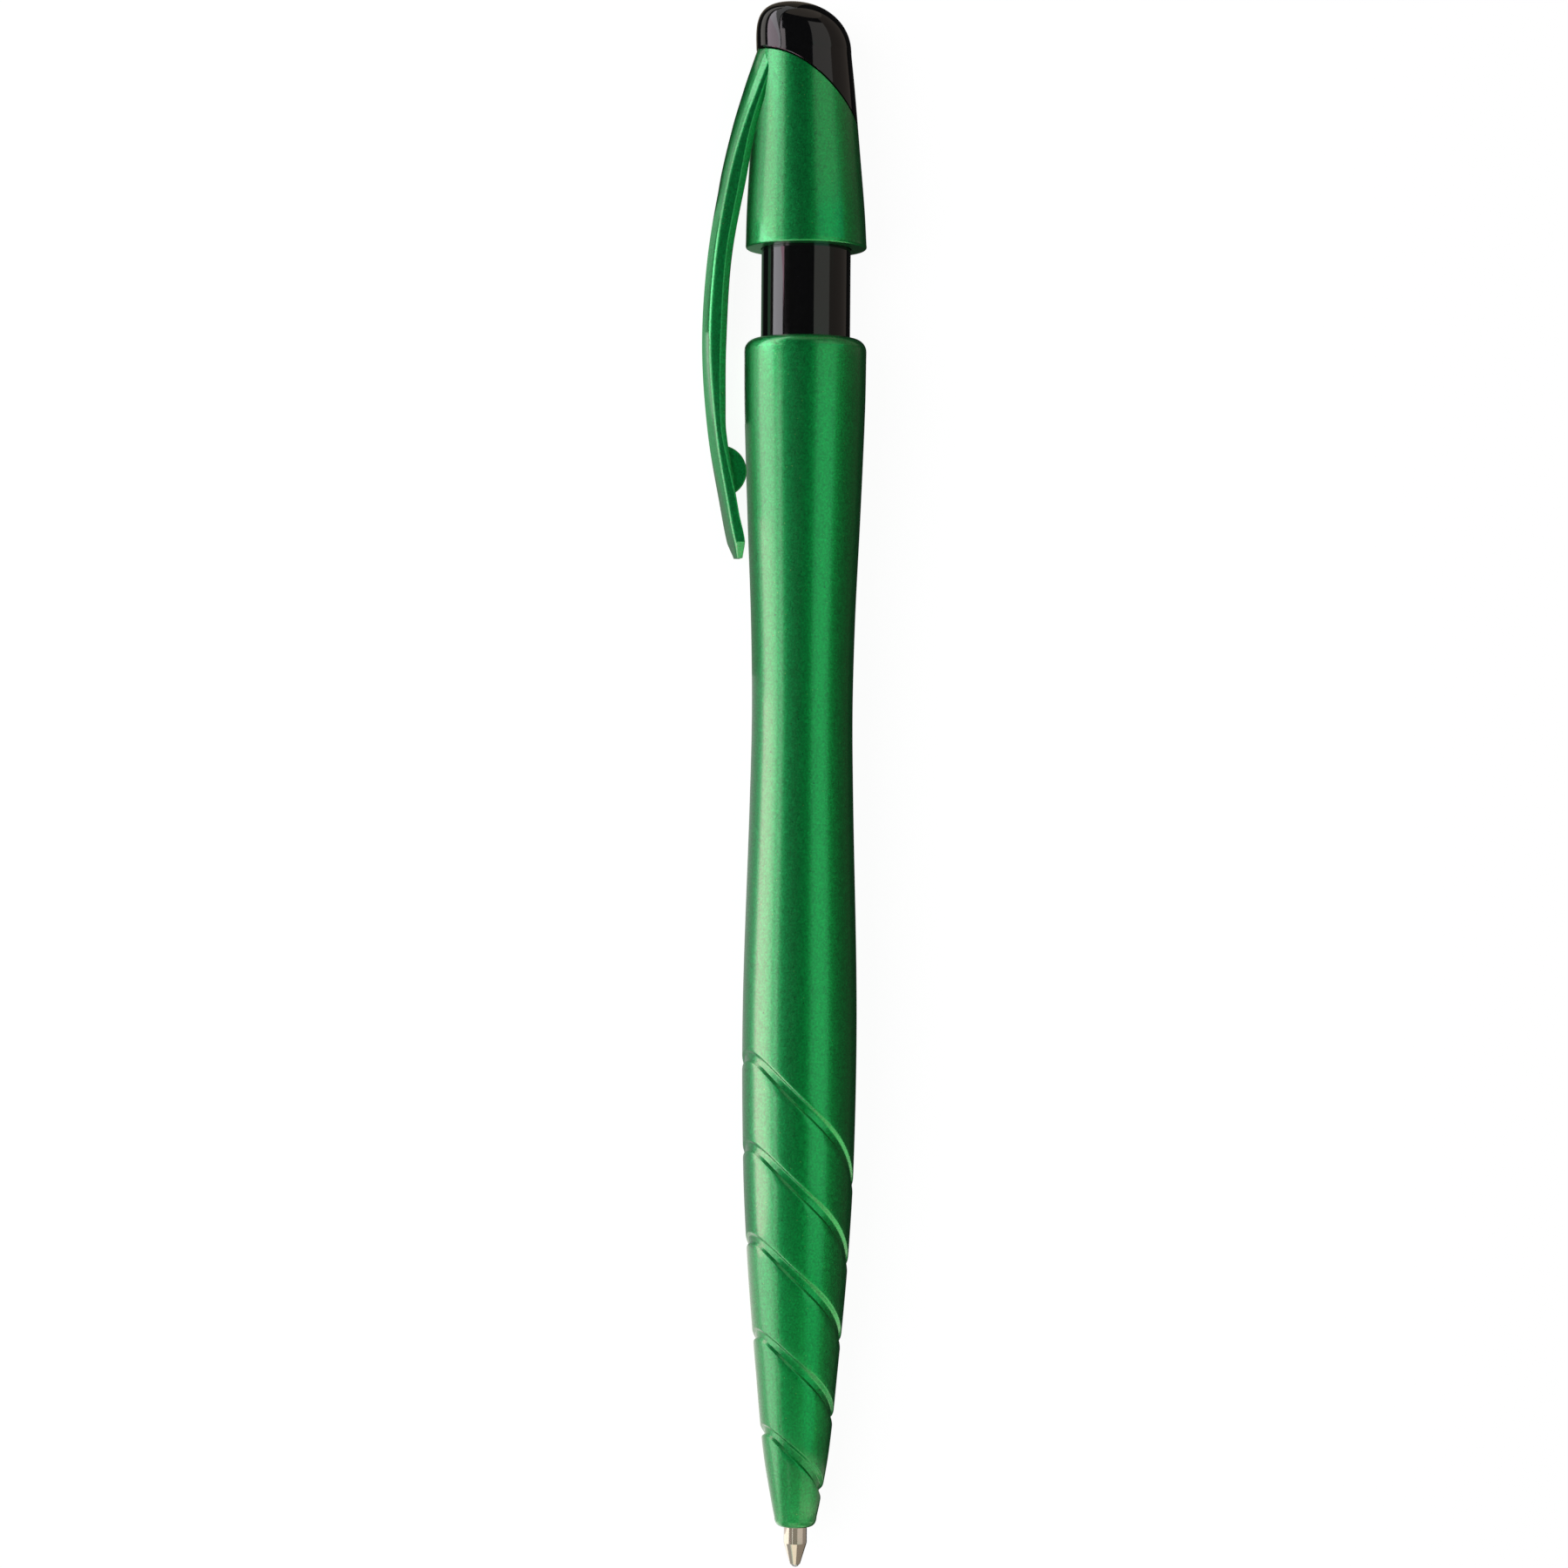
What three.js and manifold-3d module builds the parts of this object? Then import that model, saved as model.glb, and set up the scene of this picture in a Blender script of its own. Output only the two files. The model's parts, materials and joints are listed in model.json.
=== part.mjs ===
// A push-button ballpoint pen, lying on its side as it would on a desk.
// Lengths are in millimetres. The pen is built along its own axis: +X runs from the
// barrel's nose face (x = 0) to the head, +Y points to the clip and +Z to the near side.
// The finished group is then rolled until the clip's edge and the barrel touch z = 0.
// The pieces stand in the writing position, with the point out and the button latched down.
import * as THREE from "three";
import { mergeVertices } from "three/addons/utils/BufferGeometryUtils.js";
import Module from "manifold-3d";

const wasm = await Module();
wasm.setup();

// Clearances
const running_gap = 0.08; // radial, between a sliding piece and its bore
const press_gap = 0.05; // radial, between a pressed-in piece and its seat
const seat_gap = 0.1; // along the axis, between faces that rest on each other
const seam_gap = 0.12; // between the head cap and the clip sleeve
const press_room = 1.0; // left between tube and ledge when the button is fully pressed
const bump_gap = 0.06; // radial, from the clip's bump to the barrel when the point is drawn in

// Travel of the button from its latched place
const press_travel = 1.3; // past the latch, towards the nose
const release_travel = 5.7; // back out, when the point is drawn in

// Barrel: one green shell, from its nose face to its rounded top rim
const barrel_length = 107.7;
const grip_line = [
  [0.5, 1.9],
  [2.1, 2.2],
  [6.8, 3.0],
  [14.0, 3.72],
  [23.4, 4.53],
  [32.9, 5.03],
  [47.0, 5.18],
]; // distance from the nose face, outer radius
const waist_line = [
  [41.7, 4.7],
  [33.7, 4.58],
  [25.4, 4.74],
  [15.9, 5.14],
  [6.5, 5.48],
  [1.1, 5.55],
]; // distance from the top rim, outer radius
const nose_face_radius = 1.4; // outer edge of the flat nose ring
const rim_round = 1.1; // rounding of the top rim
const top_bore_depth = 19.5; // from the top rim to the ledge above the guide
const guide_pocket_depth = 17.7; // from that ledge to the guide's seat
const cavity_radius = 3.4;
const cavity_start = 30.0; // where the funnel to the spring chamber begins
const chamber_end = 13.0; // rear end of the spring chamber
const spring_seat = 6.2; // shoulder in the nose that the spring stands on
const chamber_gap = 0.15; // radial, between the spring and its chamber

// Five slanted ring grooves that cross the grip
const groove_count = 5;
const groove_first = 5.3; // where the middle of the front groove crosses the axis
const groove_pitch = 7.77;
const groove_tilt = 48.6; // degrees from a square cut
const front_groove_tilt = 44.4; // the front groove lies flatter, across the taper
const groove_turn = 14; // degrees from the clip to the grooves' high side
const groove_width = 0.98; // square to its run
const groove_depth = 0.2;
const groove_low_share = 0.19; // share of the width that the wall on the nose side takes
const groove_high_share = 0.38; // share of the width that the wall on the head side takes
const grip_end = 46.0; // where the rows of the surface lie square again

// Black tube that joins the button to the mechanism
const tube_radius = 4.05;
const tube_wall = 0.85;
const tube_floor = 1.0;
const tube_chamfer = 0.5;
const stem_radius = 2.65;
const stem_bore = 1.7;
const stem_rib_start = 1.6; // above the crown's valleys
const stem_rib_length = 4.0;

// Clip sleeve and the outline of the whole button
const exposed_tube = 8.2; // from the barrel's top rim to the sleeve's rim
const sleeve_line = [
  [0, 5.5],
  [3.5, 5.36],
  [8.3, 5.03],
  [14.6, 4.58],
  [17.7, 4.31],
]; // distance from the sleeve's rim, outer radius
const sleeve_rings = 6;
const sleeve_bevel = 0.22;
const sleeve_lean = 0.36; // how far the outline's centre moves to the clip side at the dome
const sleeve_floor = 2.5; // from the ledge that rests on the tube to the seam's low side
const dome_height = 4.6;
const dome_lean = 1.2; // further lean of the dome's peak, to the clip side
const dome_power = 2.55; // squareness of the dome's side outline
const dome_lean_power = 1.9;
const dome_rings = 9;
const dome_end_turn = 86; // degrees of the dome's round, up to its small flat top

// Slanted seam between clip sleeve and head cap, measured at the axis
const seam_height = 15.43; // from the sleeve's rim
const seam_slope = 0.77;
const seam_curve = 0.052;
const seam_steps = 10;

// Head cap's spigot, pressed into the tube
const spigot_wall = 1.1;
const spigot_reach = 8.0; // below the sleeve's ledge
const cap_floor = 2.0; // from the spigot's hollow to the foot of the dome

// Clip, moulded in one with the sleeve
const clip_outer_line = [
  [-28.2, 6.3],
  [-26.5, 6.82],
  [-24.1, 7.32],
  [-17.0, 8.6],
  [-9.1, 9.23],
  [-1.2, 8.82],
  [5.9, 7.68],
  [10.6, 6.4],
  [14.6, 4.91],
  [17.9, 3.6],
]; // distance from the sleeve's rim, distance of the outer face's edges from the axis
const clip_crown_line = [
  [5.0, 0],
  [10.6, 0.5],
  [14.6, 0.85],
  [17.9, 1.06],
]; // distance from the sleeve's rim, rise of the outer face's middle over its edges
const clip_inner_line = [
  [-28.2, 5.82],
  [-26.6, 5.84],
  [-24.1, 6.4],
  [-17.0, 7.59],
  [-14.7, 7.72],
  [-9.1, 7.76],
  [-1.2, 7.32],
  [5.9, 6.1],
  [10.7, 5.1],
  [17.9, 3.0],
];
const clip_width_line = [
  [-28.2, 0.9],
  [-26.8, 2.0],
  [-20.9, 2.0],
  [2.1, 2.18],
  [11.1, 2.4],
  [17.9, 2.4],
]; // distance from the sleeve's rim, half width
const clip_edge_round = 0.42;
const clip_edge_share = 0.3; // share of the round left at the middle of its corner
const clip_stations = 22;
const bump_place = -20.4; // from the sleeve's rim
const bump_radius = 2.35;
const bump_width = 2.4;
const bump_sides = 28;

// Click mechanism: guide sleeve, index cam and the crown of the stem
const tooth_count = 8;
const tooth_height = 0.8;
const track_count = 4; // long grooves in the guide, and ribs that run in them
const track_radius = 3.25; // floor of the guide's grooves
const land_clearance = 0.1; // radial, between the guide's lands and the stem
const track_side_gap = 3; // degrees, each side of a rib in its groove
const track_step = 0.05; // the grooves' floor stands in from the guide's smooth skirt
const land_draft = 0.4; // degrees, slope of the lands' side walls
const rib_angle = 24; // degrees round the axis that a rib covers
const rib_gap = 0.08; // radial, between a rib and its groove
const guide_wall = 0.42;
const guide_skirt = 4.4; // smooth entry below the lands
const land_length = 9.0;
const cam_body_radius = 2.6;
const cam_rib_length = 4.5;
const cam_land_gap = 0.25; // from the cam's ribs to the lands, along the axis
const cam_socket_depth = 3.6;
const cam_socket_gap = 0.1;
const cam_body_length = 9.5;
const cam_pilot_radius = 1.5; // pilot that centres the cam in the stem
const cam_pilot_length = 6.6;
const cam_pilot_chamfer = 0.6;
const cam_valley = 0.02; // least height of the cam's teeth
const crown_inset = 0.04; // radial, from the walls that carry the teeth to the teeth
const root_depth = 0.4; // how deep teeth and ribs reach into what carries them

// Refill
const point_reach = 3.77; // what stands out of the nose in the writing position
const ball_radius = 0.4;
const ball_gap = 0.04;
const ball_sides = 16;
const cup_turn = 60; // degrees of the cup round the ball, from its widest place
const cup_steps = 4;
const ball_show = 0.27; // what shows of the ball, along the axis
const lip_radius = 0.395; // crimped lip that holds the ball
const lip_wall = 0.06;
const cone_length = 1.95;
const shank_radius = 1.05;
const shank_end = 9.5; // where the point grows to its body, from the nose face
const point_body_radius = 1.3;
const point_body_end = 14.0;
const plug_length = 6.0;
const plug_radius = 1.02;
const ink_duct = 0.2;
const plug_bore = 0.5;
const plug_bore_depth = 8.0;
const refill_radius = 1.5;
const refill_bore = 1.08;
const collar_radius = 2.0;
const collar_place = 20.0; // front face of the collar that the spring pushes on
const collar_width = 1.0;
const ink_length = 38.0;
const ink_gap = 0.05;

// Return spring
const spring_wire = 0.34;
const spring_gap = 0.11; // radial, between the spring and the refill's tube
const spring_turns = 9;
const spring_end_pitch = 0.82; // pitch of the closed turn at each end
const spring_steps = 12; // steps in one turn
const spring_sides = 5;

// Facets
const outer_sides = 40;
const inner_sides = 24;
const body_rows = 13; // along the barrel, behind the grip
const overcut = 1.0; // how far a cutting shape runs past what it cuts

// Places and sizes that follow from the values above
const barrel_line = [
  ...grip_line,
  ...waist_line.map(([depth, radius]) => [barrel_length - depth, radius]),
];
const ledge = barrel_length - top_bore_depth;
const guide_seat = ledge - guide_pocket_depth;
const guide_radius = track_radius + guide_wall;
const land_radius = stem_radius + land_clearance;
const land_start = guide_seat + seat_gap + guide_skirt;
const rib_radius = track_radius - track_step - rib_gap;
const crown = land_start - cam_land_gap - tooth_height; // valleys between the cam's teeth
const cam_end = crown - cam_body_length;
const refill_end = cam_end + cam_socket_depth;
const tube_low = ledge + press_travel + press_room;
const tube_bore = tube_radius - tube_wall;
const sleeve_rim = barrel_length + exposed_tube;
const sleeve_ledge = seamAt(-sleeve_line.at(-1)[1]) - sleeve_floor;
const tube_top = sleeve_ledge - seat_gap;
const spigot_radius = tube_bore - press_gap;
const dome_start = sleeve_rim + sleeve_line.at(-1)[0];
const head_top = dome_start + dome_height;
const spring_radius = refill_radius + spring_gap + spring_wire / 2;
const chamber_radius = spring_radius + spring_wire / 2 + chamber_gap;
const nose_bore = shank_radius + running_gap;
const ball_centre = ball_radius - point_reach;

// Curves

// A smooth line through points of rising first value, as a function of that value.
function smoothLine(points) {
  const last = points.length - 1;
  const slopes = points.map((_, i) => {
    const [x0, y0] = points[Math.max(i - 1, 0)];
    const [x1, y1] = points[Math.min(i + 1, last)];
    return (y1 - y0) / (x1 - x0);
  });
  return (x) => {
    let i = 0;
    while (i < last - 1 && x > points[i + 1][0]) i += 1;
    const [x0, y0] = points[i];
    const [x1, y1] = points[i + 1];
    const span = x1 - x0;
    const t = (x - x0) / span;
    const rise = y1 - y0;
    const a = slopes[i] * span - rise;
    const b = rise - slopes[i + 1] * span;
    return y0 + t * rise + t * (1 - t) * (a * (1 - t) + b * t);
  };
}

// Straight lines through the same kind of points.
function straightLine(points) {
  const last = points.length - 1;
  return (x) => {
    let i = 0;
    while (i < last - 1 && x > points[i + 1][0]) i += 1;
    const [x0, y0] = points[i];
    const [x1, y1] = points[i + 1];
    const t = THREE.MathUtils.clamp((x - x0) / (x1 - x0), 0, 1);
    return THREE.MathUtils.lerp(y0, y1, t);
  };
}

function fromRim(line) {
  return line.map(([x, y]) => [sleeve_rim + x, y]);
}

function evenSteps(from, to, count) {
  return Array.from({ length: count + 1 }, (_, i) => from + ((to - from) * i) / count);
}

// Points of a quarter round, from one [x, radius] to the other, bulging towards the corner.
function quarterRound(from, to, corner, steps) {
  return evenSteps(0, Math.PI / 2, steps).map((angle) => {
    const a = 1 - Math.sin(angle);
    const b = 1 - Math.cos(angle);
    return [0, 1].map((k) => corner[k] + (from[k] - corner[k]) * a + (to[k] - corner[k]) * b);
  });
}

const barrelRadius = smoothLine(barrel_line);
const sleeveRadius = smoothLine(fromRim(sleeve_line));
const clipOuter = smoothLine(fromRim(clip_outer_line));
const clipInner = smoothLine(fromRim(clip_inner_line));
const clipCrown = straightLine(fromRim(clip_crown_line));
const clipHalfWidth = straightLine(fromRim(clip_width_line));

// Solids

function solidOf(geometry) {
  const bare = geometry.clone();
  bare.deleteAttribute("normal");
  bare.deleteAttribute("uv");
  const merged = mergeVertices(bare, 1e-5);
  return new wasm.Manifold(
    new wasm.Mesh({
      numProp: 3,
      vertProperties: new Float32Array(merged.attributes.position.array),
      triVerts: new Uint32Array(merged.index.array),
    }),
  );
}

function geometryOf(solid) {
  const mesh = solid.getMesh();
  const geometry = new THREE.BufferGeometry();
  geometry.setAttribute("position", new THREE.BufferAttribute(mesh.vertProperties, 3));
  geometry.setIndex(new THREE.BufferAttribute(mesh.triVerts, 1));
  geometry.computeVertexNormals();
  return geometry;
}

function joined(first, ...others) {
  return others.reduce((whole, other) => whole.add(solidOf(other)), solidOf(first));
}

// A revolve about the pen's axis. The profile is a list of [x, radius], with its outer side
// in the direction of rising x.
function revolve(profile, sides) {
  const points = profile.map(([x, radius]) => new THREE.Vector2(radius, x));
  return new THREE.LatheGeometry(points, sides).rotateZ(-Math.PI / 2);
}

function hollow(profile, sides) {
  return revolve([...profile, profile[0]], sides);
}

// A skin over rings of points. Each ring runs anticlockwise as seen from the last ring.
// The ends are closed with flat caps, or the last ring joins the first.
function skin(rings, endless = false) {
  const around = rings[0].length;
  const positions = rings.flat().flatMap((point) => point.toArray());
  const index = [];
  const spans = endless ? rings.length : rings.length - 1;
  for (let i = 0; i < spans; i += 1) {
    const here = i * around;
    const next = ((i + 1) % rings.length) * around;
    for (let j = 0; j < around; j += 1) {
      const k = (j + 1) % around;
      index.push(here + j, here + k, next + k);
      index.push(here + j, next + k, next + j);
    }
  }
  if (!endless) {
    const end = (rings.length - 1) * around;
    for (let j = 1; j < around - 1; j += 1) {
      index.push(0, j + 1, j);
      index.push(end, end + j, end + j + 1);
    }
  }
  const geometry = new THREE.BufferGeometry();
  geometry.setAttribute("position", new THREE.Float32BufferAttribute(positions, 3));
  geometry.setIndex(index);
  return geometry;
}

// A point at a distance from the axis, turned from the clip side towards the near side.
function polar(x, radius, angle, lean = 0) {
  return new THREE.Vector3(x, lean + radius * Math.cos(angle), radius * Math.sin(angle));
}

// A block bent round the axis, between two radii and two angles in degrees. Its low and high
// ends are functions of the angle.
function arcBlock({ inner, outer, low, high, from = 0, to = 360, steps }) {
  const endless = to - from === 360;
  const stations = evenSteps(from, to, steps).slice(0, endless ? steps : steps + 1);
  const rings = stations.map((degrees) => {
    const angle = THREE.MathUtils.degToRad(degrees);
    const bottom = low(degrees);
    const top = high(degrees);
    return [
      polar(bottom, inner, angle),
      polar(top, inner, angle),
      polar(top, outer, angle),
      polar(bottom, outer, angle),
    ];
  });
  return skin(rings, endless);
}

// A flat outline in the plane of axis and clip, extruded evenly to both sides of it.
function slab(outline, thickness) {
  const geometry = new THREE.ExtrudeGeometry(new THREE.Shape(outline), {
    depth: thickness,
    bevelEnabled: false,
  });
  return geometry.translate(0, 0, -thickness / 2);
}

// Barrel
// Its surface is a grid: each row is a function that gives [x, radius] at an angle, and in the
// grip the rows lie slanted, along the grooves.

function level(x, radius) {
  return () => [x, radius];
}

function onSurface(place) {
  return (angle) => [place(angle), barrelRadius(place(angle))];
}

function onFloor(place) {
  return (angle) => [place(angle), barrelRadius(place(angle)) - groove_depth];
}

function between(from, to, share) {
  return onSurface((angle) => THREE.MathUtils.lerp(from(angle), to(angle), share));
}

// The slanted plane of groove i, where it meets the barrel's surface.
function grooveMiddle(i, angle) {
  const centre = groove_first + i * groove_pitch;
  let x = centre;
  for (let pass = 0; pass < 12; pass += 1)
    x = centre + barrelRadius(x) * grooveSlope(i) * Math.cos(angle - grooveTurn());
  return x;
}

function grooveSlope(i) {
  return Math.tan(THREE.MathUtils.degToRad(i === 0 ? front_groove_tilt : groove_tilt));
}

function grooveTurn() {
  return THREE.MathUtils.degToRad(groove_turn);
}

// The groove's width along the axis, which grows where the groove runs steeply.
function grooveSpan(i, angle) {
  return groove_width * Math.hypot(1, grooveSlope(i) * Math.sin(angle - grooveTurn()));
}

function gripRows() {
  const rows = [];
  let before = () => barrel_line[0][0];
  for (let i = 0; i < groove_count; i += 1) {
    const across = (share) => (angle) => grooveMiddle(i, angle) + (share - 0.5) * grooveSpan(i, angle);
    const lower = across(0);
    const upper = across(1);
    rows.push(between(before, lower, 1 / 3), between(before, lower, 2 / 3));
    rows.push(onSurface(lower), onFloor(across(groove_low_share)));
    rows.push(onFloor(across(1 - groove_high_share)), onSurface(upper));
    before = upper;
  }
  const end = () => grip_end;
  for (const share of evenSteps(0, 1, 3).slice(1)) rows.push(between(before, end, share));
  return rows;
}

function barrelRows() {
  const [nose_end, nose_radius] = barrel_line[0];
  const rim_start = barrel_length - rim_round;
  const rim_radius = barrelRadius(rim_start);
  const nose = quarterRound([0, nose_face_radius], [nose_end, nose_radius], [0, nose_radius], 3);
  const rim = quarterRound(
    [rim_start, rim_radius],
    [barrel_length, rim_radius - rim_round],
    [barrel_length, rim_radius],
    4,
  );
  const bore = [
    [barrel_length, tube_radius + running_gap],
    [ledge, tube_radius + running_gap],
    [ledge, guide_radius + press_gap],
    [guide_seat, guide_radius + press_gap],
    [guide_seat, cavity_radius],
    [cavity_start, cavity_radius],
    [chamber_end, chamber_radius],
    [spring_seat, chamber_radius],
    [spring_seat, nose_bore],
    [0, nose_bore],
  ];
  return [
    ...nose.map(([x, radius]) => level(x, radius)),
    ...gripRows(),
    ...evenSteps(grip_end, rim_start, body_rows).slice(1, -1).map((x) => onSurface(() => x)),
    ...rim.map(([x, radius]) => level(x, radius)),
    ...bore.map(([x, radius]) => level(x, radius)),
  ];
}

function makeBarrel() {
  const angles = evenSteps(0, 2 * Math.PI, outer_sides).slice(0, outer_sides);
  const rings = barrelRows().map((row) => angles.map((angle) => polar(...row(angle), angle)));
  return skin(rings, true);
}

// Button: clip sleeve, head cap and tube

function leanAt(x) {
  return sleeve_lean * THREE.MathUtils.clamp((x - sleeve_rim) / (dome_start - sleeve_rim), 0, 1);
}

// Rings of the button's whole outline, from the sleeve's rim to the top of the dome.
function buttonRings() {
  const angles = evenSteps(0, 2 * Math.PI, outer_sides).slice(0, outer_sides);
  const ring = (x, radius, lean) => angles.map((angle) => polar(x, radius, angle, lean));
  const rings = [ring(sleeve_rim, sleeveRadius(sleeve_rim) - sleeve_bevel, 0)];
  for (const x of evenSteps(sleeve_rim + sleeve_bevel, dome_start, sleeve_rings))
    rings.push(ring(x, sleeveRadius(x), leanAt(x)));
  for (const turn of evenSteps(0, dome_end_turn, dome_rings).slice(1)) {
    const angle = THREE.MathUtils.degToRad(turn);
    const rise = Math.sin(angle) ** (2 / dome_power);
    const radius = sleeveRadius(dome_start) * Math.cos(angle) ** (2 / dome_power);
    const lean = sleeve_lean + dome_lean * rise ** dome_lean_power;
    rings.push(ring(dome_start + dome_height * rise, radius, lean));
  }
  return rings;
}

function seamAt(y) {
  return sleeve_rim + seam_height + seam_slope * y - seam_curve * y * y;
}

// Everything above the slanted seam, as a slab that is wider than the button.
function aboveSeam(gap) {
  const reach = sleeve_line[0][1];
  const ceiling = head_top + overcut;
  const edge = evenSteps(-reach, reach, seam_steps).map((y) => new THREE.Vector2(seamAt(y) + gap, y));
  const outline = [new THREE.Vector2(ceiling, -reach), new THREE.Vector2(ceiling, reach)];
  return solidOf(slab([...outline, ...edge.reverse()], 2 * reach));
}

function clipRing(x) {
  const edge = clipOuter(x);
  const inner = clipInner(x);
  const half = clipHalfWidth(x);
  const round = Math.min(clip_edge_round, (edge - inner) / 3, half / 2);
  const crowned = (z) => [edge + clipCrown(x) * (1 - (z / half) ** 2), z];
  const side = [
    [inner, half - round / 2],
    [inner + round / 2, half],
    [edge - round, half],
    [edge - round * clip_edge_share, half - round * clip_edge_share],
    crowned(half - round),
    crowned(half / 2),
  ];
  const far = side.map(([y, z]) => new THREE.Vector3(x, y, -z));
  const near = side.map(([y, z]) => new THREE.Vector3(x, y, z)).reverse();
  return [...far, new THREE.Vector3(x, edge + clipCrown(x), 0), ...near];
}

function makeClip() {
  const [foot, chamfer] = fromRim(clip_width_line).map(([x]) => x);
  const root = sleeve_rim + clip_width_line.at(-1)[0];
  const stations = [foot, ...evenSteps(chamfer, root, clip_stations)];
  return skin(stations.map(clipRing));
}

// The rounded bump under the clip that grips a pocket's edge.
function makeBump() {
  const place = sleeve_rim + bump_place;
  const lowest = barrelRadius(place + release_travel) + bump_gap;
  const bump = new THREE.CylinderGeometry(bump_radius, bump_radius, bump_width, bump_sides);
  return bump.rotateX(Math.PI / 2).translate(place, lowest + bump_radius, 0);
}

// The space above the clip's inner face, which the bump doesn't fill.
function clipShadow() {
  const from = sleeve_rim + bump_place - 2 * bump_radius;
  const to = sleeve_rim + bump_place + 2 * bump_radius;
  const middle = (x) => (clipInner(x) + clipOuter(x)) / 2;
  const edge = evenSteps(from, to, 8).map((x) => new THREE.Vector2(x, middle(x)));
  const far_side = 3 * clipOuter(to);
  const outline = [...edge, new THREE.Vector2(to, far_side), new THREE.Vector2(from, far_side)];
  return slab(outline, 2 * bump_width);
}

function makeClipSleeve() {
  const bore = [
    [sleeve_rim - overcut, 0],
    [sleeve_rim - overcut, tube_radius + running_gap],
    [sleeve_ledge, tube_radius + running_gap],
    [sleeve_ledge, spigot_radius + press_gap],
    [head_top, spigot_radius + press_gap],
    [head_top, 0],
  ];
  const bump = solidOf(makeBump()).subtract(solidOf(clipShadow()));
  const whole = joined(skin(buttonRings()), makeClip()).subtract(aboveSeam(0));
  return geometryOf(whole.subtract(solidOf(revolve(bore, outer_sides))).add(bump));
}

function makeHeadCap() {
  const spigot = [
    [sleeve_ledge - spigot_reach, 0],
    [sleeve_ledge - spigot_reach, spigot_radius],
    [dome_start, spigot_radius],
    [dome_start, 0],
  ];
  const core = [
    [sleeve_ledge - spigot_reach - overcut, 0],
    [sleeve_ledge - spigot_reach - overcut, spigot_radius - spigot_wall],
    [dome_start - cap_floor, spigot_radius - spigot_wall],
    [dome_start - cap_floor, 0],
  ];
  const cap = solidOf(skin(buttonRings())).intersect(aboveSeam(seam_gap));
  const whole = cap.add(solidOf(revolve(spigot, outer_sides)));
  return geometryOf(whole.subtract(solidOf(revolve(core, outer_sides))));
}

// Height of a crown's teeth over its valleys: a triangle wave round the axis.
function toothHeight(degrees) {
  const pitch = 360 / tooth_count;
  const share = (((degrees % pitch) + pitch) % pitch) / pitch;
  return tooth_height * (1 - Math.abs(2 * share - 1));
}

// The middle of each long groove in the guide, in degrees from the clip.
const tracks = evenSteps(0, 360, track_count)
  .slice(0, track_count)
  .map((degrees) => degrees + 180 / track_count);

function ribs(low, high) {
  return tracks.map((middle) =>
    arcBlock({
      inner: cam_body_radius - root_depth / 2,
      outer: rib_radius,
      low,
      high,
      from: middle - rib_angle / 2,
      to: middle + rib_angle / 2,
      steps: 4,
    }),
  );
}

function makePlungerTube() {
  const crown_top = crown + tooth_height + seat_gap;
  const body = hollow(
    [
      [crown_top, stem_bore],
      [crown_top, stem_radius],
      [tube_low, stem_radius],
      [tube_low, tube_radius - tube_chamfer],
      [tube_low + tube_chamfer, tube_radius],
      [tube_top, tube_radius],
      [tube_top, tube_bore],
      [tube_low + tube_floor, tube_bore],
      [tube_low + tube_floor, stem_bore],
    ],
    outer_sides,
  );
  const teeth = arcBlock({
    inner: stem_bore + crown_inset,
    outer: stem_radius - crown_inset,
    low: (degrees) => crown + toothHeight(degrees) + seat_gap,
    high: () => crown_top + root_depth,
    steps: 4 * tooth_count,
  });
  const rib_start = crown_top + stem_rib_start;
  const runners = ribs(
    () => rib_start,
    () => rib_start + stem_rib_length,
  );
  return geometryOf(joined(body, teeth, ...runners));
}

// Click mechanism

// The guide is pressed into the barrel. Its grooves and the lands between them are one profile
// that changes round the axis.
function makeGuideSleeve() {
  const start = guide_seat + seat_gap;
  const end = ledge - seat_gap;
  const pitch = 360 / track_count;
  const half_track = rib_angle / 2 + track_side_gap;
  const stations = tracks.flatMap((middle) => [
    ...evenSteps(middle - half_track + land_draft, middle + half_track - land_draft, 3),
    ...evenSteps(middle + half_track + land_draft, middle + pitch - half_track - land_draft, 8),
  ]);
  const sections = stations.map((degrees) => {
    const off_track = Math.abs(((degrees - tracks[0] + pitch / 2 + 360) % pitch) - pitch / 2);
    const is_track = off_track < half_track;
    const inner = is_track ? track_radius - track_step : land_radius;
    const low = land_start + toothHeight(degrees);
    return [
      [start, track_radius],
      [low, track_radius],
      [low, inner],
      [land_start + land_length, inner],
      [land_start + land_length, track_radius],
      [end, track_radius],
      [end, guide_radius],
      [start, guide_radius],
    ].map(([x, radius]) => polar(x, radius, THREE.MathUtils.degToRad(degrees)));
  });
  return skin(sections, true);
}

function makeIndexCam() {
  const body = revolve(
    [
      [refill_end + seat_gap, 0],
      [refill_end + seat_gap, refill_radius + cam_socket_gap],
      [cam_end, refill_radius + cam_socket_gap],
      [cam_end, cam_body_radius],
      [crown, cam_body_radius],
      [crown, cam_pilot_radius],
      [crown + cam_pilot_length - cam_pilot_chamfer, cam_pilot_radius],
      [crown + cam_pilot_length, cam_pilot_radius - cam_pilot_chamfer],
      [crown + cam_pilot_length, 0],
    ],
    inner_sides,
  );
  const teeth = arcBlock({
    inner: stem_bore + crown_inset,
    outer: cam_body_radius - crown_inset,
    low: () => crown - root_depth,
    high: (degrees) => crown + Math.max(toothHeight(degrees), cam_valley),
    steps: 4 * tooth_count,
  });
  const followers = ribs(
    () => crown - cam_rib_length,
    (degrees) => crown + Math.max(toothHeight(degrees), cam_valley),
  );
  return geometryOf(joined(body, teeth, ...followers));
}

// Refill

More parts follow.
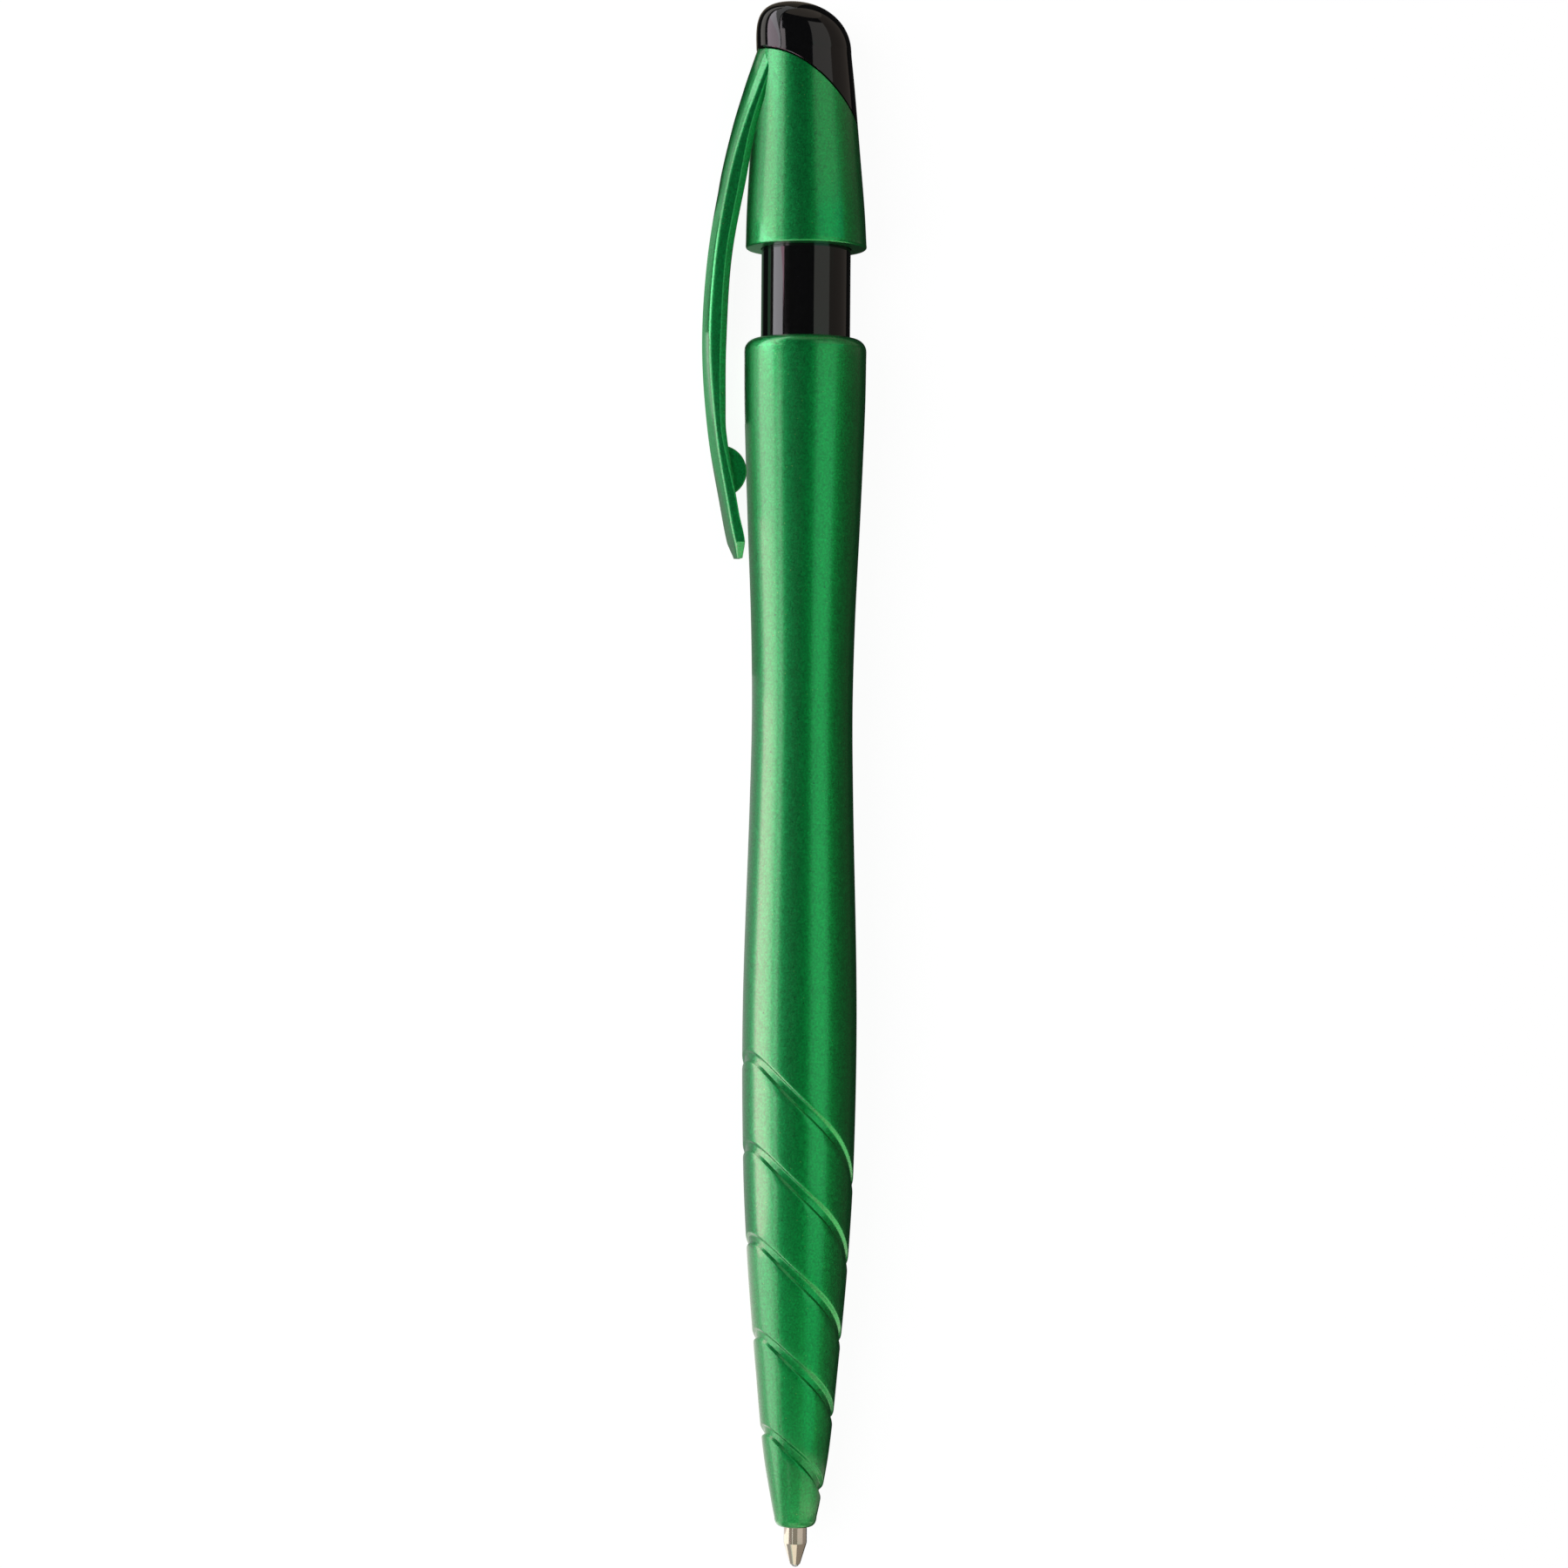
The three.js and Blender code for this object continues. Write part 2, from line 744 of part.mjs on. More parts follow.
function makeRefillTube() {
  const start = point_body_end + seat_gap;
  return hollow(
    [
      [start, refill_bore],
      [start, refill_radius],
      [collar_place, refill_radius],
      [collar_place, collar_radius],
      [collar_place + collar_width, collar_radius],
      [collar_place + collar_width, refill_radius],
      [refill_end, refill_radius],
      [refill_end, refill_bore],
    ],
    inner_sides,
  );
}

function makeInkColumn() {
  const start = point_body_end + plug_length + seat_gap;
  const profile = [
    [start, 0],
    [start, refill_bore - ink_gap],
    [start + ink_length, refill_bore - ink_gap],
    [start + ink_length, 0],
  ];
  return revolve(profile, inner_sides);
}

function makeRefillPoint() {
  const lip = ball_show - point_reach;
  const cup = ball_radius + ball_gap;
  const cone_end = lip + cone_length;
  const cup_floor = ball_centre + Math.sqrt(cup * cup - ink_duct * ink_duct);
  const cup_round = evenSteps(0, cup_turn, cup_steps).map((degrees) => {
    const angle = THREE.MathUtils.degToRad(degrees);
    return [ball_centre + cup * Math.sin(angle), cup * Math.cos(angle)];
  });
  const duct_end = point_body_end + plug_length - plug_bore_depth;
  return hollow(
    [
      [lip, lip_radius],
      [lip, lip_radius + lip_wall],
      [cone_end, shank_radius],
      [shank_end, shank_radius],
      [shank_end, point_body_radius],
      [point_body_end, point_body_radius],
      [point_body_end, plug_radius],
      [point_body_end + plug_length, plug_radius],
      [point_body_end + plug_length, plug_bore],
      [duct_end, plug_bore],
      [duct_end, ink_duct],
      [cup_floor, ink_duct],
      ...cup_round.reverse(),
    ],
    inner_sides,
  );
}

function makeBall() {
  const ball = new THREE.SphereGeometry(ball_radius, ball_sides, ball_sides / 2);
  return ball.translate(ball_centre, 0, 0);
}

// Return spring: one wire, with a closed turn at each end

function springPlace(turn) {
  const start = spring_seat + seat_gap + spring_wire / 2;
  const end = collar_place - seat_gap - spring_wire / 2;
  const open_pitch = (end - start - 2 * spring_end_pitch) / (spring_turns - 2);
  if (turn < 1) return start + turn * spring_end_pitch;
  if (turn > spring_turns - 1) return end - (spring_turns - turn) * spring_end_pitch;
  return start + spring_end_pitch + (turn - 1) * open_pitch;
}

function makeSpring() {
  const stations = evenSteps(0, spring_turns, spring_turns * spring_steps);
  const sides = evenSteps(0, 2 * Math.PI, spring_sides).slice(0, spring_sides);
  const rings = stations.map((turn) => {
    const angle = 2 * Math.PI * turn;
    return sides.map((side) => {
      const radius = spring_radius + (spring_wire / 2) * Math.cos(side);
      return polar(springPlace(turn) - (spring_wire / 2) * Math.sin(side), radius, angle);
    });
  });
  reportSpringGap(rings);
  return skin(rings);
}

// The least distance between the wire's rings that lie half a turn or more apart.
function reportSpringGap(rings) {
  const apart = spring_steps / 2;
  let least = Infinity;
  rings.forEach((ring, i) => {
    for (const other of rings.slice(i + apart))
      for (const point of ring)
        for (const partner of other) least = Math.min(least, point.distanceTo(partner));
  });
  console.log("return spring: least gap between turns " + least.toFixed(2) + " mm");
}

// Finishes

const finishes = {
  green_metallic: { color: 0x2f9a4f, roughness: 0.38, metalness: 0.55 },
  black_gloss: { color: 0x08080a, roughness: 0.08, metalness: 0.0 },
  white_plastic: { color: 0xe6e6e0, roughness: 0.45, metalness: 0.0 },
  grey_plastic: { color: 0xb9bcc0, roughness: 0.5, metalness: 0.0 },
  clear_plastic: { color: 0xdfe6ea, roughness: 0.3, metalness: 0.0 },
  ink: { color: 0x0d1430, roughness: 0.35, metalness: 0.0 },
  nickel_silver: { color: 0xb9b3a4, roughness: 0.22, metalness: 1.0 },
  carbide: { color: 0x8d8f94, roughness: 0.15, metalness: 1.0 },
  spring_steel: { color: 0xa9abae, roughness: 0.28, metalness: 1.0 },
};

function piece(name, geometry, finish) {
  const mesh = new THREE.Mesh(geometry, new THREE.MeshStandardMaterial(finishes[finish]));
  mesh.name = name;
  return mesh;
}

// Assembly

const pen = new THREE.Group();
pen.add(
  piece("barrel", makeBarrel(), "green_metallic"),
  piece("guide_sleeve", makeGuideSleeve(), "white_plastic"),
  piece("return_spring", makeSpring(), "spring_steel"),
);

const button = new THREE.Group();
button.add(
  piece("clip_sleeve", makeClipSleeve(), "green_metallic"),
  piece("head_cap", makeHeadCap(), "black_gloss"),
  piece("plunger_tube", makePlungerTube(), "black_gloss"),
);

const refill = new THREE.Group();
refill.add(
  piece("index_cam", makeIndexCam(), "grey_plastic"),
  piece("refill_tube", makeRefillTube(), "clear_plastic"),
  piece("ink_column", makeInkColumn(), "ink"),
  piece("refill_point", makeRefillPoint(), "nickel_silver"),
  piece("writing_ball", makeBall(), "carbide"),
);
pen.add(button, refill);

// The roll that lets both the barrel and the clip's lower edge touch the desk.
const barrel_rest = Math.max(...barrel_line.map(([, radius]) => radius));
const clip_rest = Math.max(...clip_outer_line.map(([, height]) => height));
const clip_rest_place = clip_outer_line.find(([, height]) => height === clip_rest)[0];
const clip_cut = clip_edge_round * clip_edge_share;
const clip_rest_half = clipHalfWidth(sleeve_rim + clip_rest_place) - clip_cut;
const clip_corner = Math.hypot(clip_rest - clip_cut, clip_rest_half);
const roll = Math.asin(barrel_rest / clip_corner) - Math.atan2(clip_rest_half, clip_rest);
pen.rotation.x = -roll;

// The group's origin: the middle of the pen's footprint, on the desk.
const group = new THREE.Group();
group.add(pen);
const bounds = new THREE.Box3().setFromObject(group, true);
const middle = bounds.getCenter(new THREE.Vector3());
pen.position.set(-middle.x, -middle.y, -bounds.min.z);

export default group;
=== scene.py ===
import json
import math
from bisect import bisect

import bpy
from mathutils import Matrix, Vector


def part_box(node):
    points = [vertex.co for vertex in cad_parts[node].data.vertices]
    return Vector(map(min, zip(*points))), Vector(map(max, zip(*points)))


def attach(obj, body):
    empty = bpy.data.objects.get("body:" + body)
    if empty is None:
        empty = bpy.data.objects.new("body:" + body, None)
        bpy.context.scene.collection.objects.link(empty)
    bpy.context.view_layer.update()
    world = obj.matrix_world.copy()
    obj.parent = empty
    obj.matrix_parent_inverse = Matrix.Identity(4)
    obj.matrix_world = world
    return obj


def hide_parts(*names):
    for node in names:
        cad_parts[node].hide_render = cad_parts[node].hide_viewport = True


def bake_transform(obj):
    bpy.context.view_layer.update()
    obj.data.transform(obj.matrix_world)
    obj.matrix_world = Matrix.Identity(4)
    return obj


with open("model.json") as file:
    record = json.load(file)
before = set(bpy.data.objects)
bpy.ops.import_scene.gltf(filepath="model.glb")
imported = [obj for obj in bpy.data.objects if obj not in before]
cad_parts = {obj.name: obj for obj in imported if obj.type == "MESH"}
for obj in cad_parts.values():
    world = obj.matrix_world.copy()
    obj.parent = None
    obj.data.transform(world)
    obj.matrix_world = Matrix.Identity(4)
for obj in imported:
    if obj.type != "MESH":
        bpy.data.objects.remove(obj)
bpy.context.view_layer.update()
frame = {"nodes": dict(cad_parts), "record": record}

scene = bpy.context.scene
scene.view_settings.view_transform = "Standard"

MM = 0.001

# Barrel
BARREL_LENGTH = 107.7
GRIP_LINE = [
    (0.8, 1.93), (2.1, 2.2), (6.8, 3.0), (14.0, 3.72), (23.4, 4.53), (32.9, 5.03), (47.0, 5.18),
]
WAIST_LINE = [(41.7, 4.7), (33.7, 4.58), (25.4, 4.74), (15.9, 5.14), (6.5, 5.48), (1.1, 5.55)]
NOSE_FACE_RADIUS = 1.4
RIM_ROUND = 1.1
TOP_BORE_DEPTH = 19.5
GUIDE_POCKET_DEPTH = 17.7
GUIDE_BORE = 3.72
CAVITY_RADIUS = 3.4
CAVITY_START = 30.0
CHAMBER_END = 13.0
SPRING_SEAT = 6.2
CHAMBER_RADIUS = 2.1
NOSE_BORE = 1.13
GRIP_END = 46.0
LEDGE = BARREL_LENGTH - TOP_BORE_DEPTH
GUIDE_SEAT = LEDGE - GUIDE_POCKET_DEPTH

# Grooves. The profile gives shares of the width and of the depth, from the nose side on.
GROOVE_COUNT = 5
GROOVE_FIRST = 5.7
GROOVE_PITCH = 7.78
GROOVE_SLOPE = 0.937
GROOVE_BOW = -0.13
GROOVE_SWING = 0.19
GROOVE_SWING_RISE = 0.04
GROOVE_TURN = math.radians(14)
GROOVE_WIDTH = 1.16
GROOVE_DEPTH = 0.25
FRONT_GROOVE_DEPTH = 0.3
GROOVE_PROFILE = [
    (0.0, 0.0), (0.03, 0.04), (0.06, 0.16), (0.18, 0.9), (0.21, 0.99), (0.32, 1.0), (0.47, 1.0),
    (0.6, 1.0), (0.67, 0.96), (0.72, 0.85), (0.815, 0.43), (0.88, 0.16), (0.94, 0.04), (1.0, 0.0),
]

# Button: tube, clip sleeve and head cap
EXPOSED_TUBE = 8.2
SLEEVE_RIM = BARREL_LENGTH + EXPOSED_TUBE
TUBE_RADIUS = 4.05
TUBE_BORE = 3.2
TUBE_FLOOR = 1.0
TUBE_CHAMFER = 0.5
RUNNING_GAP = 0.08
SLEEVE_LINE = [(0, 5.5), (3.5, 5.36), (8.3, 5.03), (14.6, 4.58), (17.7, 4.31)]
SLEEVE_BEVEL = 0.22
SLEEVE_LEAN = 0.36
SLEEVE_FLOOR = 2.5
DOME_START = SLEEVE_RIM + SLEEVE_LINE[-1][0]
DOME_HEIGHT = 4.6
DOME_LEAN = 1.2
DOME_POWER = 2.55
DOME_LEAN_POWER = 1.9
DOME_RUN = 5.0
DOME_END_GAP = 0.05
SEAM_HEIGHT = 15.43
SEAM_SLOPE = 0.77
SEAM_CURVE = 0.052
SEAM_GAP = 0.12
SEAM_EDGE = 0.09
CAP_EDGE = 0.035

# Clip: places along the pen are measured from the sleeve's rim. The bump's round gives places
# in from its end face, and how much its radius is less there.
CLIP_OUTER_LINE = [
    (-28.2, 6.3), (-26.5, 6.82), (-24.1, 7.32), (-17.0, 8.6), (-9.1, 9.23), (-1.2, 8.82),
    (5.9, 7.68), (10.6, 6.4), (14.6, 4.91), (17.9, 3.6),
]
CLIP_CROWN_LINE = [(-28.2, 0.08), (5.0, 0.1), (10.6, 0.5), (14.6, 0.85), (17.9, 1.06)]
CLIP_INNER_LINE = [
    (-28.2, 5.82), (-26.6, 5.84), (-24.1, 6.4), (-17.0, 7.57), (-14.7, 7.65), (-9.1, 7.65),
    (-1.2, 7.22), (5.9, 5.98), (10.7, 5.1), (17.9, 3.0),
]
CLIP_WIDTH_LINE = [
    (-28.2, 0.9), (-26.8, 2.0), (-20.9, 2.0), (2.1, 2.18), (11.1, 2.4), (17.9, 2.4),
]
BUMP_PLACE = -20.4
BUMP_RADIUS = 2.35
BUMP_WIDTH = 2.4
BUMP_GAP = 0.06
BUMP_ROUND = [(0.0, 0.14), (0.12, 0.03), (0.2, 0.0)]
CLIP_CUT_LINE = [(-28.2, 0.04), (-23.0, 0.1), (-16.0, 0.6), (5.9, 0.66), (17.9, 0.5)]
CLIP_CUT_SHARE = 0.45
CLIP_DRAFT = math.tan(math.radians(9))
CLIP_FINE_ROUND = 0.1
CLIP_EDGE_ROUND = 0.42
CLIP_SHOULDER = 0.7
CLIP_SHOULDER_RISE = 0.5
CLIP_SEAM_GAP = 0.01

# Travel and clearances
PRESS_TRAVEL = 1.3
RELEASE_TRAVEL = 5.7
PRESS_ROOM = 1.0
PRESS_GAP = 0.05
SEAT_GAP = 0.1
FINE_CHAMFER = 0.1

# Head cap's spigot, stem and crown
SPIGOT_WALL = 1.1
SPIGOT_REACH = 8.0
SPIGOT_LEAD = 0.3
CAP_FLOOR = 2.0
CAP_CORE_TIP = 0.05
STEM_RADIUS = 2.65
STEM_BORE = 1.7
STEM_RIB_START = 1.6
STEM_RIB_LENGTH = 4.0
TOOTH_COUNT = 8
TOOTH_HEIGHT = 0.8
CROWN_INSET = 0.04
ROOT_DEPTH = 0.4
TRACK_COUNT = 4
RIB_ANGLE = 24
RIB_RADIUS = 3.12
GUIDE_SKIRT = 4.4
CAM_LAND_GAP = 0.25
CROWN = GUIDE_SEAT + SEAT_GAP + GUIDE_SKIRT - CAM_LAND_GAP - TOOTH_HEIGHT
CAM_BODY_LENGTH = 9.5
CAM_SOCKET_DEPTH = 3.6

# Refill and spring
POINT_REACH = 3.77
BALL_RADIUS = 0.4
BALL_GAP = 0.04
BALL_SHOW = 0.27
CUP_TURN = 60
LIP_RADIUS = 0.395
LIP_LINE = [(0.0, 0.0), (0.0, 0.04), (0.03, 0.07)]
CONE_LENGTH = 1.95
SHANK_RADIUS = 1.05
SHANK_END = 9.5
CORNER_STEP = 0.02
POINT_CHAMFER = 0.08
POINT_BODY_RADIUS = 1.3
POINT_BODY_END = 14.0
PLUG_RADIUS = 1.02
PLUG_LENGTH = 6.0
PLUG_BORE = 0.5
PLUG_BORE_DEPTH = 8.0
INK_DUCT = 0.2
REFILL_RADIUS = 1.5
REFILL_BORE = 1.08
COLLAR_RADIUS = 2.0
COLLAR_PLACE = 20.0
COLLAR_WIDTH = 1.0
SPRING_WIRE = 0.17
SPRING_RADIUS = 1.78
SPRING_TURNS = 9
SPRING_END_PITCH = 0.82

# Sides round the pen, steps along its surfaces, and tries where a place is searched for
BARREL_SIDES = 224
BUTTON_SIDES = 192
TUBE_SIDES = 160
REFILL_SIDES = 96
BALL_SIDES = 48
WIRE_SIDES = 12
NOSE_ROUND_STEPS = 7
GRIP_STEPS = 8
GRIP_END_STEPS = 14
BODY_STEPS = 72
RIM_STEPS = 9
BEVEL_STEPS = 4
SLEEVE_STEPS = 44
DOME_STEPS = 64
CLIP_FOOT_STEPS = 8
CLIP_STEPS = 120
CLIP_ROUND_STEPS = 6
CLIP_CROWN_STEPS = 12
BUMP_STEPS = 48
TOOTH_STEPS = 64
RIB_STEPS = 8
CUP_STEPS = 4
BALL_STEPS = 40
BALL_END_TURN = 89
SPRING_STEPS = 40
GROOVE_TRIES = 12
SEAM_HALVINGS = 40

# Colours, the lacquer's grain in millimetres, a speck's reach as a share of their spacing, and
# the scale of the turned point's fine rings
LACQUER = (0.0, 0.34, 0.07, 1)
DARK_SPECK = (0.0, 0.05, 0.02, 1)
PALE_SPECK = (0.1, 0.42, 0.1, 1)
LACQUER_GRAIN = 0.17
FLAKE_SIZE = 0.09
FLAKE_TILT = 0.12
SPECK_SPACING = 0.8
SPECK_REACH = 0.07
LATHE_RINGS = 2600.0
WHITE_PLASTIC = ((0.74, 0.74, 0.7, 1), (0.82, 0.82, 0.78, 1))
GREY_PLASTIC = ((0.42, 0.44, 0.46, 1), (0.5, 0.52, 0.54, 1))

# Camera
SENSOR = 36
CAMERA_ELEVATION = math.radians(53.45)
CAMERA_ROLL = math.radians(0.49)
CAMERA_DISTANCE = 333
CAMERA_AIM = 67.33
CAMERA_SIDE = 1.6
FRAME_HEIGHT = 142.45

# Levels of light. Many sheets are tinted, some of them strongly, because the lacquer's
# highlights take their tone from them. The lamp and the world are neutral.
DARK = (0.015, 0.015, 0.015)
GREY = (0.45, 0.45, 0.45)
DIM = (0.07, 0.07, 0.055)
HEAD_DIM = (0.26, 0.22, 0.19)
WARM_PANEL = (0.75, 0.74, 0.68)
SLEEVE_CARD = (4.0, 2.3, 2.9)
HEAD_CARD = (3.9, 3.7, 4.0)
LOW_CARD = (3.0, 2.0, 2.4)
CARD_EDGE = (1.6, 1.1, 1.3)

# Sheets bent round the pen: elevations in degrees up from the clip side's horizon, places along
# the pen in millimetres from its middle, radius in metres, level
ARC_STEP = 3
ARC_SHEETS = [
    ("dark_arc", 8, 74, -95, 900, 0.25, DARK),
    ("nose_arc", 3, 74, -150, -95, 0.25, (0.03, 0.15, 0.08)),
    ("end_arc", 3, 74, -350, -150, 0.25, (0.25, 0.8, 0.45)),
    ("end_glow", 3, 186, -900, -350, 0.25, (1.7, 1.7, 1.3)),
    ("tube_rise", -1, 8, 66, 90, 0.25, DARK),
    ("head_rise", -2, 8, 118, 900, 0.25, DARK),
    ("card_rise", -4, 8, -95, 66, 0.25, (3.2, 2.65, 2.9)),
    ("low_card_rise", -4, 3, -200, -95, 0.25, LOW_CARD),
    ("sleeve_card_rise", -4, 8, 90, 150, 0.24, (2.7, 2.4, 2.5)),
    ("head_card_rise", -4, 0, 150, 215, 0.24, HEAD_CARD),
    ("side_glow", 74, 186, -350, -190, 0.25, (1.8, 1.75, 1.4)),
    ("nose_panel", 74, 113, -190, -105, 0.25, (0.1, 0.6, 0.4)),
    ("panel", 74, 113, -105, 68, 0.25, (0.45, 1.35, 0.92)),
    ("tube_panel", 74, 116, 68, 92, 0.25, WARM_PANEL),
    ("sleeve_panel", 75, 129, 92, 122, 0.25, (0.0, 1.4, 0.8)),
    ("head_panel", 75, 122, 122, 330, 0.25, (0.74, 0.71, 0.67)),
    ("dark_panel", 74, 122, 330, 900, 0.25, DARK),
    ("dim_arc", 113, 186, -190, 68, 0.25, DIM),
    ("tube_dim", 116, 186, 68, 92, 0.25, HEAD_DIM),
    ("sleeve_dim", 129, 186, 92, 122, 0.25, DIM),
    ("head_dim", 122, 186, 122, 900, 0.25, HEAD_DIM),
    ("tip_dark", -1, 74, -72, -66, 0.015, (0.36, 0.32, 0.28)),
    ("tip_line", 24, 28, -72, -66, 0.0148, (1.5, 1.5, 1.5)),
    ("tip_panel", 74, 131, -72, -66, 0.015, (0.8, 0.71, 0.66)),
    ("tip_dim", 131, 186, -72, -66, 0.015, (0.4, 0.35, 0.32)),
    ("cone_glow", 8, 74, -92, -75, 0.015, (1.3, 1.18, 1.0)),
    ("cone_dim", 74, 186, -92, -75, 0.015, (0.33, 0.28, 0.24)),
]

# Strips on the floor: near and far edge and height in metres, places along the pen in
# millimetres from its middle, level
FLOOR_STRIPS = [
    ("near_flag", 0.25, 0.046, 0.0001, -150, 900, DARK),
    ("far_flag", -0.008, -0.25, 0.0001, -900, 900, DARK),
    ("gap_flag", 0.005, 0.002, 0.0001, 33, 90, DARK),
    ("gap_strip", 0.0067, 0.005, 0.00015, 22, 90, (0.18, 0.5, 0.26)),
    ("gap_end_strip", 0.002, -0.008, 0.0001, 40, 66, (0.12, 0.22, 0.14)),
    ("body_strip", 0.007, -0.001, 0.0001, -42, 10, GREY),
    ("waist_strip", 0.007, -0.001, 0.0001, 10, 33, (0.24, 0.3, 0.25)),
    ("nose_strip", 0.007, -0.001, 0.0001, -69, -42, (1.0, 0.9, 0.9)),
    ("end_strip", 0.002, -0.008, 0.0001, 66, 200, (0.2, 0.17, 0.13)),
    ("grip_card", 0.026, 0.0082, 0.00025, -44, 8, (7.0, 2.85, 4.2)),
    ("grip_far_card", 0.075, 0.026, 0.00025, -44, 8, (4.9, 2.7, 3.5)),
    ("grip_card_edge", 0.0082, 0.007, 0.00025, -44, 8, CARD_EDGE),
    ("waist_card", 0.026, 0.0088, 0.00025, 8, 24, (5.6, 2.75, 3.7)),
    ("waist_far_card", 0.075, 0.026, 0.00025, 8, 24, (4.2, 2.65, 3.2)),
    ("waist_card_edge", 0.0088, 0.007, 0.00025, 8, 24, CARD_EDGE),
    ("card", 0.075, 0.0095, 0.00025, 24, 41, (4.2, 2.5, 3.2)),
    ("card_edge", 0.0095, 0.007, 0.00025, 24, 41, (0.9, 0.8, 0.8)),
    ("low_card", 0.075, 0.007, 0.00025, -69, -44, LOW_CARD),
    ("tip_card", 0.075, -0.001, 0.00025, -73, -69, (1.8, 1.7, 1.6)),
    ("cone_card", 0.075, -0.001, 0.00025, -200, -73, (0.5, 0.48, 0.45)),
    ("tube_card", 0.048, 0.0092, 0.00025, 41, 52, (4.5, 4.4, 4.7)),
    ("tube_card_edge", 0.0092, 0.0067, 0.00025, 41, 52, DIM),
    ("sleeve_card", 0.075, 0.011, 0.00025, 52, 66, SLEEVE_CARD),
    ("sleeve_top_card", 0.075, 0.0083, 0.00025, 66, 74, (3.7, 3.1, 3.5)),
    ("sleeve_card_edge", 0.011, 0.0067, 0.00025, 52, 66, (1.1, 0.9, 1.0)),
    ("head_card", 0.075, 0.0083, 0.00025, 74, 82, HEAD_CARD),
    ("head_far_card", 0.24, 0.075, 0.0002, 90, 150, (3.0, 2.7, 2.8)),
    ("head_gap", 0.0083, 0.0065, 0.0003, 67, 90, DARK),
    ("head_edge", 0.0065, 0.004, 0.0003, 67, 90, (1.0, 0.95, 0.9)),
]

# A wall past the pen's head: millimetres from the pen's middle, reach in metres, level
END_WALL = 450
END_WALL_REACH = 0.4
END_WALL_LEVEL = (0.5, 0.43, 0.36)

# Lamp, world and floor, with lengths in metres
LAMP_ELEVATION = 34
LAMP_POWER = 0.85
LAMP_SIZE = 0.3
LAMP_DISTANCE = 0.6
LAMP_PLACE = 0.065
WORLD_LEVEL = 0.15
FLOOR_REACH = 4
FLOOR_COLOUR = (0.35, 0.35, 0.35, 1)
FLOOR_GLOW = 0.93


# The pen's place in the world

def pen_frame():
    low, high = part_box("ink_column")
    axis_middle = (Vector(low) + Vector(high)) / 2
    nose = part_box("barrel")[0][0]
    inner_face = next(m for m in frame["record"]["mounts"] if m["name"] == "clip_inner_face")
    clip_side = -Vector((0, inner_face["axis"][1], inner_face["axis"][2])).normalized()
    near_side = Vector((1, 0, 0)).cross(clip_side)
    columns = Matrix((Vector((1, 0, 0)), clip_side, near_side)).transposed().to_4x4()
    return Matrix.Translation((nose, axis_middle.y, axis_middle.z)) @ columns @ Matrix.Scale(MM, 4)


PEN = pen_frame()
AXIS = PEN.translation.copy()


# Lines and sections

def smooth_line(points):
    """A smooth curve through the points, as a function of x."""
    xs = [x for x, _ in points]
    ys = [y for _, y in points]
    last = len(points) - 1
    slopes = []
    for i in range(last + 1):
        low, high = max(i - 1, 0), min(i + 1, last)
        slopes.append((ys[high] - ys[low]) / (xs[high] - xs[low]))

    def line(x):
        i = min(max(bisect(xs, x) - 1, 0), last - 1)
        span = xs[i + 1] - xs[i]
        t = (x - xs[i]) / span
        rise = ys[i + 1] - ys[i]
        a = slopes[i] * span - rise
        b = rise - slopes[i + 1] * span
        return ys[i] + t * rise + t * (1 - t) * (a * (1 - t) + b * t)

    return line


def straight_line(points):
    """Straight runs between the points, as a function of x, level past both ends."""
    xs = [x for x, _ in points]

    def line(x):
        i = min(max(bisect(xs, x) - 1, 0), len(points) - 2)
        (x0, y0), (x1, y1) = points[i], points[i + 1]
        t = min(max((x - x0) / (x1 - x0), 0), 1)
        return y0 + (y1 - y0) * t

    return line


def steps(start, end, count):
    """Evenly spaced values from start to end, both of them included."""
    return [start + (end - start) * i / count for i in range(count + 1)]


def from_rim(points):
    return [(SLEEVE_RIM + x, y) for x, y in points]


def quarter_round(start, end, corner, count):
    """A quarter of an ellipse from start to end, bulging towards the corner."""
    points = []
    for turn in steps(0, math.pi / 2, count):
        a = 1 - math.sin(turn)
        b = 1 - math.cos(turn)
        points.append(tuple(
            corner[k] + (start[k] - corner[k]) * a + (end[k] - corner[k]) * b for k in (0, 1)
        ))
    return points


barrel_radius = smooth_line(GRIP_LINE + [(BARREL_LENGTH - x, r) for x, r in WAIST_LINE])
sleeve_radius = smooth_line(from_rim(SLEEVE_LINE))
clip_outer = smooth_line(from_rim(CLIP_OUTER_LINE))
clip_inner = smooth_line(from_rim(CLIP_INNER_LINE))
clip_crown = straight_line(from_rim(CLIP_CROWN_LINE))
clip_half_width = straight_line(from_rim(CLIP_WIDTH_LINE))
clip_cut = straight_line(from_rim(CLIP_CUT_LINE))


def polar(x, radius, angle, lean=0.0):
    """A point at an angle round the axis, from the clip side. lean shifts it to that side."""
    return (x, lean + radius * math.cos(angle), radius * math.sin(angle))


def angles(count):
    return [2 * math.pi * j / count for j in range(count)]


# Meshes

def mesh_object(name, points, faces):
    """An object from points in the pen's own frame."""
    mesh = bpy.data.meshes.new(name)
    mesh.from_pydata([PEN @ Vector(p) for p in points], [], faces)
    mesh.update()
    obj = bpy.data.objects.new(name, mesh)
    scene.collection.objects.link(obj)
    return obj


def shade(obj, sharp_degrees=32):
    obj.data.shade_smooth()
    obj.data.set_sharp_from_angle(angle=math.radians(sharp_degrees))


